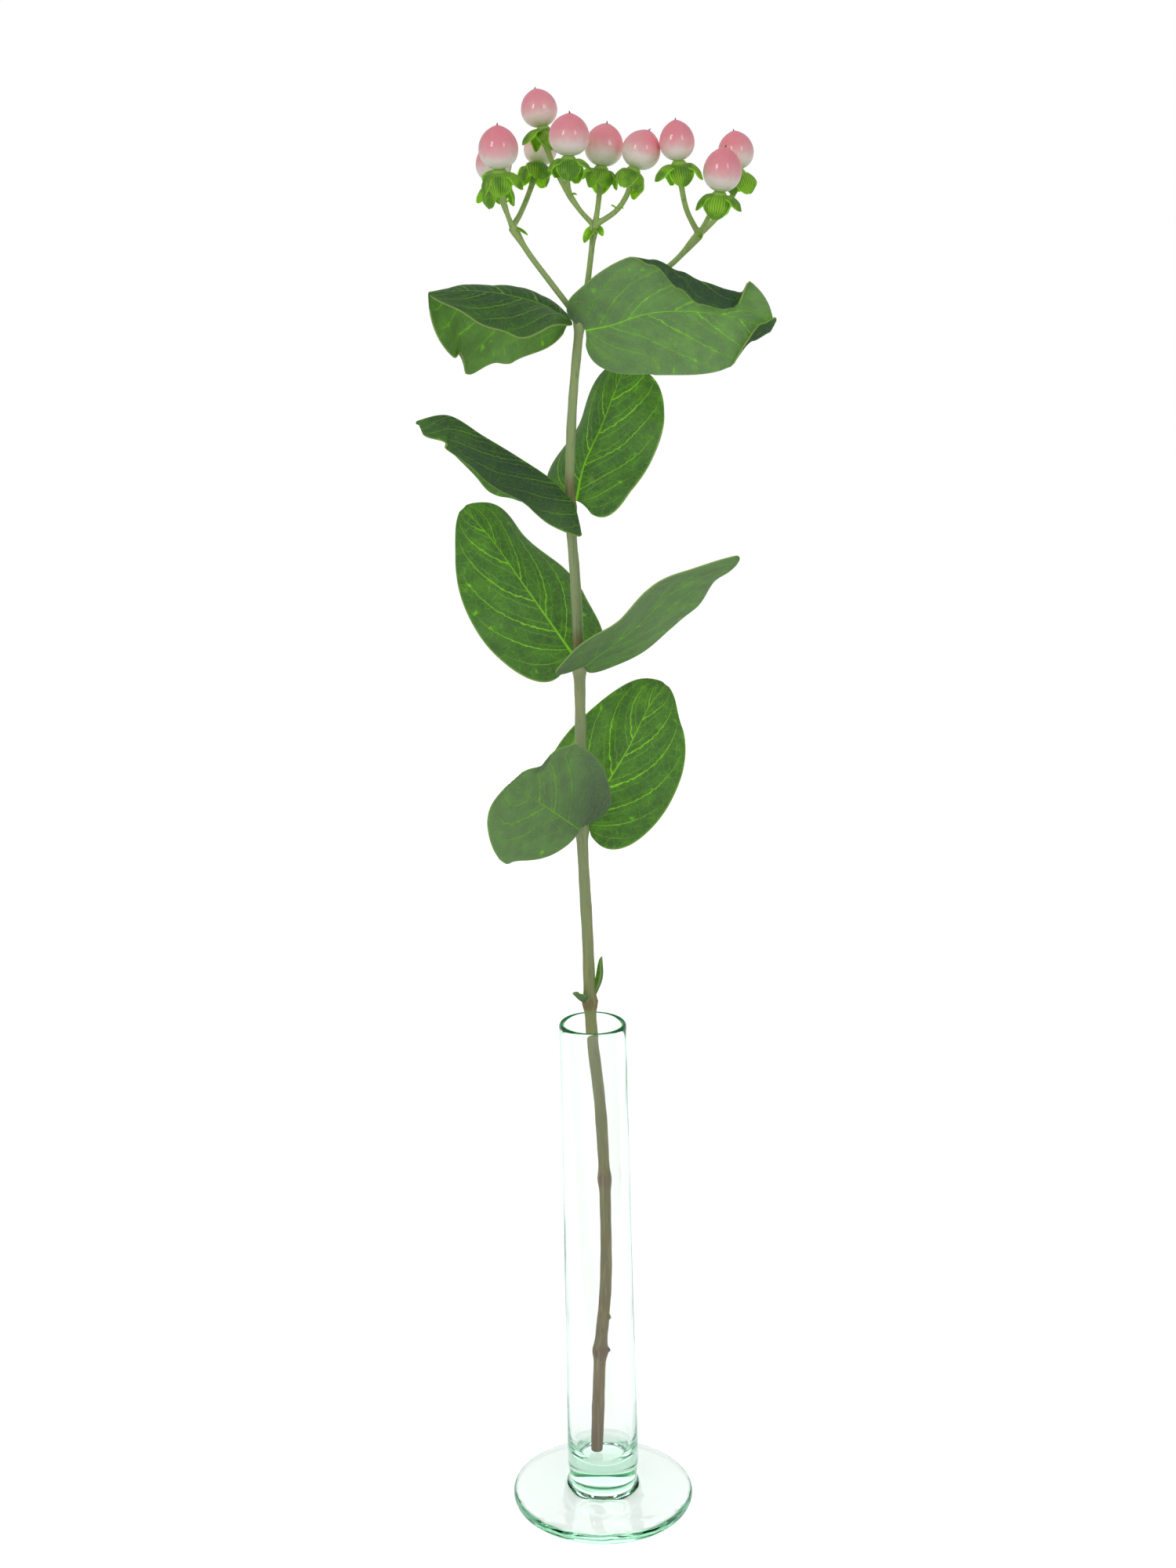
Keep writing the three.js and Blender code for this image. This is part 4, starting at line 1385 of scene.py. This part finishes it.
@dataclass
class Calyxes:
    """Under each berry, a receptacle with five sepals that arch out and hang."""

    count: int = 5
    length: float = 9.0
    half_width: float = 3.9
    front_breadth: float = 1.18
    side_breadth: float = 0.95
    front_droop: float = 0.85
    receptacle_radius: float = 2.5
    receptacle_half: float = 1.5
    thickness: float = 0.4
    grid: Grid = (26, 9)
    sharp: float = 60.0

    def build(self, green: bpy.types.Material) -> None:
        """Builds the calyx of every fruit.

        Args:
            green: the sepal finish.
        """
        for number, fruit in enumerate(FRUITS, 1):
            parts = [self._receptacle(green)]
            parts += [self._sepal(i, number, fruit.turn, green) for i in range(self.count)]
            calyx = join(parts, f"calyx_sepals_{number:02d}")
            fruit.carry(calyx)
            smooth(calyx, self.sharp)
            hand_over(calyx, f"calyx_{number:02d}")

    def _receptacle(self, green: bpy.types.Material) -> bpy.types.Object:
        """The round end of the pedicel, which carries the sepals and the berry.

        Args:
            green: the sepal finish, of which it shows one plain place near a sepal's foot.

        Returns:
            The receptacle, just under the origin.
        """
        plain_place = (0.1, 0.62)
        bead = add(bpy.ops.mesh.primitive_uv_sphere_add, "receptacle", segments=24, ring_count=12,
                   radius=1.0)
        bead.data.materials.append(green)
        bead.data.uv_layers.active.name = "span"
        bead.data.uv_layers.new(name="spread")
        for corner in bead.data.uv_layers["span"].data:
            corner.uv = plain_place
        radius = self.receptacle_radius * MM
        bead.scale = (radius, radius, self.receptacle_half * MM)
        bead.location = (0.0, 0.0, -self.receptacle_half * 0.6 * MM)
        settle(bead)
        return bead

    def _sepal(self, i: int, number: int, turn: float,
               green: bpy.types.Material) -> bpy.types.Object:
        """One sepal, already turned to its place round the receptacle.

        Args:
            i: its place round the receptacle, 0 being the front one.
            number: the number of the fruit.
            turn: the heading of the front sepal in degrees.
            green: the sepal finish.

        Returns:
            The sepal.
        """
        droop = self.front_droop if i == 0 else 0.5 + 0.5 * math.sin(2.4 * i + 1.7 * number)
        size = 1 - 0.1 * math.cos(1.9 * i + number)
        breadth = self.front_breadth if i == 0 else self.side_breadth
        spreading = np.array([(4.4, 0, -0.9), (7.2, 0, -2.6), (8.8, 0, -5)])
        hanging = np.array([(3.6, 0, -1.9), (4.7, 0, -5.2), (4, 0, -self.length + 0.4)])
        course = (spreading * (1 - droop) + hanging * droop) * size
        half = Half(self.half_width * size * breadth, wide=0.85, blunt=0.45, curl=(-40.0,))
        blade = Blade(rib=[(1.8, 0, -1), *course], face=[(0, 0, 1), (1, 0, 0.6), (1, 0, 0)],
                      left=half, right=half, wave=0.3, waves=1.5, phase=0.13 * (i + number))
        sepal = blade.build("sepal", self.grid, self.thickness, [green, green])
        sepal.rotation_euler = (0.0, 0.0, math.radians(turn + 360.0 * i / self.count))
        settle(sepal)
        return sepal


# ---------------------------------------------------------------- stem


@dataclass(frozen=True)
class StemNode:
    """A swollen node of the main stem: its height, how far it stands proud, and half its length."""

    z: float
    proud: float
    half: float


@dataclass(frozen=True)
class Scar:
    """The stub of a side shoot that broke off: its height, its heading in degrees, its length."""

    z: float
    heading: float
    length: float


@dataclass(frozen=True)
class Bract:
    """A tiny leaf or a spur at a fork."""

    at: Point
    heading: Point
    length: float
    half_width: float


@dataclass
class Stem:
    """The woody stem with its nodes and scars, and the stalks, pedicels and bracts of the spray."""

    line: list[Point] = field(default_factory=lambda: [
        (-2.6, 0.6, 19.4), (-2.0, 0.9, 38), (-1.1, 1.6, 63), (0.9, 4, 89), (1.0, 5.5, 113),
        (0.5, 6.5, 133.5), (-1.5, 7.4, 166.5), (-4.7, 8.1, 195), (-6.1, 8.1, 230), (-8.3, 8, 274),
        (-9.1, 8, 332), (-10.6, 7, 366.6), (-12.4, 6, 393.6), (-11.6, 5, 427), (-8.7, 3, 459.4)])
    radii: tuple[float, ...] = (2.55, 2.35, 2.1, 1.65)
    ripples: tuple[tuple[float, float], ...] = ((0.05, 4.7), (0.04, 1.9))
    nodes: list[StemNode] = field(default_factory=lambda: [
        StemNode(63, 0.75, 4), StemNode(133.5, 0.6, 5), StemNode(205, 0.8, 4),
        StemNode(273, 0.7, 4), StemNode(334, 0.7, 4), StemNode(392.5, 0.7, 4),
        StemNode(458, 0.8, 3.5)])
    scars: list[Scar] = field(default_factory=lambda: [
        Scar(62, -10, 4.4), Scar(76, -20, 3.4), Scar(204.5, -30, 3.6), Scar(134, 200, 3.2)])
    scar_radii: tuple[float, ...] = (1.5, 1.25, 1.0, 0.8)
    stalks: list[list[Point]] = field(default_factory=lambda: [
        [(-9, 3, 457.5), (-11.5, 1.6, 461.6), (-18.6, -1.2, 471), (-26.2, -3.4, 481), FORK_LEFT],
        [(-8.7, 3, 457.5), (-6.5, 3, 468.7), (-4.5, 2, 484.5), FORK_CENTRE],
        [(-8.4, 3.5, 457.5), (-3, 6, 462), (7.7, 8, 466.4), (23.6, 8, 477.8), FORK_RIGHT]])
    stalk_radii: tuple[float, ...] = (1.25, 1.1, 1.1, 1.05, 1.05, 1.7)
    stalk_steps: int = 40
    branches: list[list[Point]] = field(default_factory=lambda: [
        [FORK_LEFT, (-33.2, -6.6, 493.6), SIDE_FORK_LEFT],
        [FORK_CENTRE, (-8.4, -0.4, 495), SIDE_FORK_CENTRE]])
    branch_radii: tuple[float, ...] = (1.05, 0.9, 1.15)
    branch_steps: int = 16
    pedicel_radii: tuple[float, ...] = (1.1, 0.98, 1.0, 1.3)
    pedicel_steps: int = 30
    pedicel_end: float = 2.2
    bracts: list[Bract] = field(default_factory=lambda: [
        Bract(FORK_CENTRE, (-0.5, -0.4, -0.8), 7.4, 1.9),
        Bract(FORK_CENTRE, (0.6, -0.4, -0.7), 5, 1.7),
        Bract(FORK_LEFT, (0.9, -0.35, -0.45), 6.5, 0.9),
        Bract(FORK_RIGHT, (0.1, -0.9, -0.4), 3.6, 1.2),
        Bract(SIDE_FORK_LEFT, (0.7, -0.5, 0.5), 2.6, 0.7),
        Bract(SIDE_FORK_CENTRE, (0.9, -0.4, 0.1), 3, 0.7),
        Bract((4, 2, 495.6), (-0.7, -0.5, 0.5), 3.2, 0.7),
        Bract((4, 2, 495.6), (0.8, -0.5, 0.2), 2.8, 0.7)])
    bract_thickness: float = 0.35
    bract_grid: Grid = (14, 4)
    voxel: float = 0.35
    easing: float = 0.5
    easing_rounds: int = 4

    def build(self, skin: bpy.types.Material, green: bpy.types.Material) -> None:
        """Builds the stem as one grown body, with its bracts.

        Args:
            skin: the stem finish.
            green: the finish of the bracts.
        """
        pedicels = [
            [fruit.start, *fruit.via, tuple(Vector(fruit.foot) - fruit.axis * self.pedicel_end)]
            for fruit in FRUITS]
        parts = [self._main_axis()]
        parts += [self._scar(scar) for scar in self.scars]
        for courses, radii, steps in ((self.stalks, self.stalk_radii, self.stalk_steps),
                                      (self.branches, self.branch_radii, self.branch_steps),
                                      (pedicels, self.pedicel_radii, self.pedicel_steps)):
            parts += [self._tube(course, radii, steps) for course in courses]
        for part in parts:
            settle(part)
        stem = join(parts, "grown_stem")
        apply_modifier(stem, "REMESH", mode="VOXEL", voxel_size=self.voxel * MM)
        apply_modifier(stem, "SMOOTH", factor=self.easing, iterations=self.easing_rounds)
        stem.data.materials.clear()
        stem.data.materials.append(skin)
        smooth(stem)
        hand_over(stem, "stem")
        for number, bract in enumerate(self.bracts, 1):
            self._bract(number, bract, green)

    def _tube(self, points: list[Point], radii: Sequence[float], steps: int) -> bpy.types.Object:
        """A closed round stalk in `steps` lengths, its radius running through `radii`."""
        fraction = np.linspace(0.0, 1.0, steps + 1)
        return self._sweep(Line(points).at(fraction), blend(radii, fraction))

    @staticmethod
    def _sweep(points: np.ndarray, radii: np.ndarray) -> bpy.types.Object:
        """A tube along a row of points.

        Args:
            points: the middles of its rings, in millimetres.
            radii: the radius of each.

        Returns:
            The closed tube as a mesh.
        """
        path = add(bpy.ops.curve.primitive_nurbs_path_add, "shoot")
        curve = path.data
        curve.splines.clear()
        spline = curve.splines.new("POLY")
        spline.points.add(len(points) - 1)
        for knot, place, radius in zip(spline.points, points, radii):
            knot.co = (*(place * MM), 1.0)
            knot.radius = radius
        curve.dimensions = "3D"
        curve.bevel_depth = MM
        curve.bevel_resolution = 4
        curve.use_fill_caps = True
        take(path)
        bpy.ops.object.convert(target="MESH")
        return bpy.context.object

    def _main_axis(self) -> bpy.types.Object:
        """The main stem, with its nodes swelling out of it.

        Returns:
            The stem from its cut end to the top pair of leaves.
        """
        rings = 420
        fraction = np.linspace(0.0, 1.0, rings)
        points = Line(self.line).at(fraction)
        z = points[:, 2]
        radii = blend(self.radii, fraction)
        radii += sum(node.proud * np.exp(-((z - node.z) / (node.half * 0.75)) ** 2)
                     for node in self.nodes)
        radii += sum(depth * np.sin(z / span) for depth, span in self.ripples)
        return self._sweep(points, radii)

    def _scar(self, scar: Scar) -> bpy.types.Object:
        """A stub that leans out of the main stem.

        Args:
            scar: where it stands, and how far it leans out.

        Returns:
            The stub, rooted in the middle of the stem.
        """
        rings, rise = 8, 0.5
        track = Line(self.line).track
        root = track[np.argmin(np.abs(track[:, 2] - scar.z))]
        turn = math.radians(scar.heading)
        axis = unit(np.array([math.cos(turn), math.sin(turn), rise]))
        fraction = np.linspace(0.0, 1.0, rings)
        points = root + axis * fraction[:, None] * scar.length
        return self._sweep(points, blend(self.scar_radii, fraction))

    def _bract(self, number: int, bract: Bract, green: bpy.types.Material) -> None:
        """Lays a bract along its heading, with its upper side towards the spray.

        Args:
            number: its number.
            bract: where it stands, and its size.
            green: its finish.
        """
        inset, arch, sharp = 0.2, 0.25, 60.0
        start = np.array(bract.at)
        axis = unit(np.array(bract.heading, float))
        tip = start + axis * (bract.length - inset)
        middle = (start + tip) / 2 + (0.0, 0.0, arch)
        half = Half(bract.half_width, wide=0.85, lift=(10.0,), curl=(25.0,))
        blade = Blade(rib=[start, middle, tip], face=[(-axis[0] * 0.3, -0.3, 1.0)],
                      left=half, right=half)
        leaf = blade.build(f"bract_{number}", self.bract_grid, self.bract_thickness, [green, green])
        smooth(leaf, sharp)
        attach(leaf, "root")
        LOG.info("%s stands at a fork", leaf.name)


# ---------------------------------------------------------------- studio


@dataclass(frozen=True)
class Softbox:
    """A rectangular studio light that looks at a point, in metres and watts.

    The camera doesn't see it, and only a light that is mirrored shows on smooth surfaces.
    """

    name: str
    place: Point
    target: Point
    width: float
    height: float
    power: float
    mirrored: bool = True

    def build(self) -> None:
        """Hangs the light."""
        lamp = add(bpy.ops.object.light_add, self.name, type="AREA", location=self.place)
        lamp.data.shape = "RECTANGLE"
        lamp.data.size = self.width
        lamp.data.size_y = self.height
        lamp.data.energy = self.power
        lamp.visible_camera = False
        lamp.visible_glossy = self.mirrored
        aim = Vector(self.target) - Vector(self.place)
        lamp.rotation_euler = aim.to_track_quat("-Z", "Y").to_euler()


@dataclass
class Studio:
    """Camera, pale floor, white surround and soft lights, in metres.

    `surround` and `uplight` light the piece from above and below. `backdrop` is what stands behind
    it, and `ceiling` what its glass shows of the sky overhead, in the tone `cool`. The glass needs
    many `bounces`, because light runs along inside its wall.
    """

    camera_place: Point = (-0.006, -0.771, 0.491)
    pitch: float = 14.43
    lens: float = 50.0
    sensor: float = 36.0
    nearest: float = 0.01
    table_size: float = 8.0
    table_gap: float = 0.0002
    backdrop: float = 1.0
    surround: float = 0.42
    uplight: float = 0.62
    ceiling: float = 0.15
    cool: Colour = (0.88, 0.95, 1.0)
    bounces: int = 96
    lights: list[Softbox] = field(default_factory=lambda: [
        Softbox("back_panel", (0.0, 1.3, 0.7), (0.0, 0.0, 0.3), 2.4, 1.8, 30.0, False),
        Softbox("left_window", (-0.75, -0.95, 0.95), (0.0, 0.0, 0.45), 0.22, 0.5, 2.6),
        Softbox("right_window", (0.7, -1.0, 0.95), (0.0, 0.0, 0.45), 0.22, 0.5, 1.4),
        Softbox("overhead", (0.0, 0.2, 1.6), (0.0, 0.0, 0.2), 1.4, 1.4, 1.2)])

    def build(self, floor: bpy.types.Material) -> None:
        """Sets up the studio.

        Args:
            floor: the floor finish.
        """
        self._camera()
        self._floor(floor)
        self._surround()
        for light in self.lights:
            light.build()
        scene = bpy.context.scene
        scene.view_settings.view_transform = "Standard"
        scene.cycles.max_bounces = self.bounces
        scene.cycles.glossy_bounces = self.bounces
        scene.cycles.transmission_bounces = self.bounces

    def _camera(self) -> None:
        """Stands the camera in front of the arrangement, looking slightly down."""
        camera = add(bpy.ops.object.camera_add, "studio_camera", location=self.camera_place,
                     rotation=(math.radians(90.0 - self.pitch), 0.0, 0.0))
        camera.data.lens = self.lens
        camera.data.sensor_width = self.sensor
        camera.data.clip_start = self.nearest
        bpy.context.scene.camera = camera

    def _floor(self, finish: bpy.types.Material) -> None:
        """Lays the pale table top under the vase, where only the camera and the glass see it.

        Args:
            finish: the floor finish.
        """
        floor = add(bpy.ops.mesh.primitive_plane_add, "pale_table", size=self.table_size,
                    location=(0.0, 0.0, -self.table_gap))
        floor.visible_diffuse = False
        floor.visible_glossy = False
        floor.visible_shadow = False
        settle(floor)
        floor.data.materials.append(finish)

    def _surround(self) -> None:
        """Surrounds the set with soft white, brighter where the camera and the glass see it."""
        graph = Graph(bpy.data.worlds.new("white_surround"))
        bpy.context.scene.world = graph.owner
        height = graph.axis(graph.node("ShaderNodeTexCoord", output="Generated"), "Z")
        through_glass = graph.node("ShaderNodeLightPath", output="Is Singular Ray")
        to_camera = graph.node("ShaderNodeLightPath", output="Is Camera Ray")
        soft = height.ease(0.1, -0.3) * (self.uplight - self.surround) + self.surround
        clear = height.ease(0.35, 0.12) * (self.backdrop - self.ceiling) + self.ceiling
        level = through_glass * (clear - soft) + soft
        level = to_camera * (self.backdrop - level) + level
        tint = graph.mix(through_glass * (1.0 - to_camera), (1.0, 1.0, 1.0), self.cool)
        background = graph.node("ShaderNodeBackground", inputs={"Color": tint, "Strength": level})
        graph.end("ShaderNodeOutputWorld", {"Surface": background})


# ---------------------------------------------------------------- assembly


def corners(box: tuple[Vector, Vector]) -> list[list[float]]:
    """A box's two corners as plain lists of numbers."""
    return [[float(value) for value in corner] for corner in box]


# The upper side's deep and fresh greens carry a blue cast, with nearly as much blue as green. That
# cast is painted sheen, standing in for the bluish reflection of the surround on the upper sides.
# The dark green under it is the leaf's own colour.
UPPER_SIDE_WITH_SHEEN = LeafFinish(
    "leaf_upper_side_painted_sheen", Face.UPPER, deep=(0.024, 0.05, 0.048), fresh=(0.04, 0.075, 0.052),
    vein=(0.5, 0.66, 0.2), roughness=0.38)
UNDER_SIDE = LeafFinish(
    "leaf_underside", Face.UNDER, deep=(0.15, 0.22, 0.14), fresh=(0.2, 0.28, 0.17),
    vein=(0.3, 0.38, 0.2), roughness=0.5, vein_share=0.55)


def main() -> None:
    """Builds the whole arrangement in order."""
    logging.basicConfig(level=logging.INFO, format="%(name)s: %(message)s")
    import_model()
    Studio().build(FloorFinish().material())
    sepal = SepalFinish().material()
    Vase().build(GlassFinish().material())
    Stem().build(BarkFinish().material(), sepal)
    Foliage().build(UPPER_SIDE_WITH_SHEEN.material(), UNDER_SIDE.material())
    Calyxes().build(sepal)
    Berries().build(BerryFinish().material())


if __name__ == "__main__":
    main()
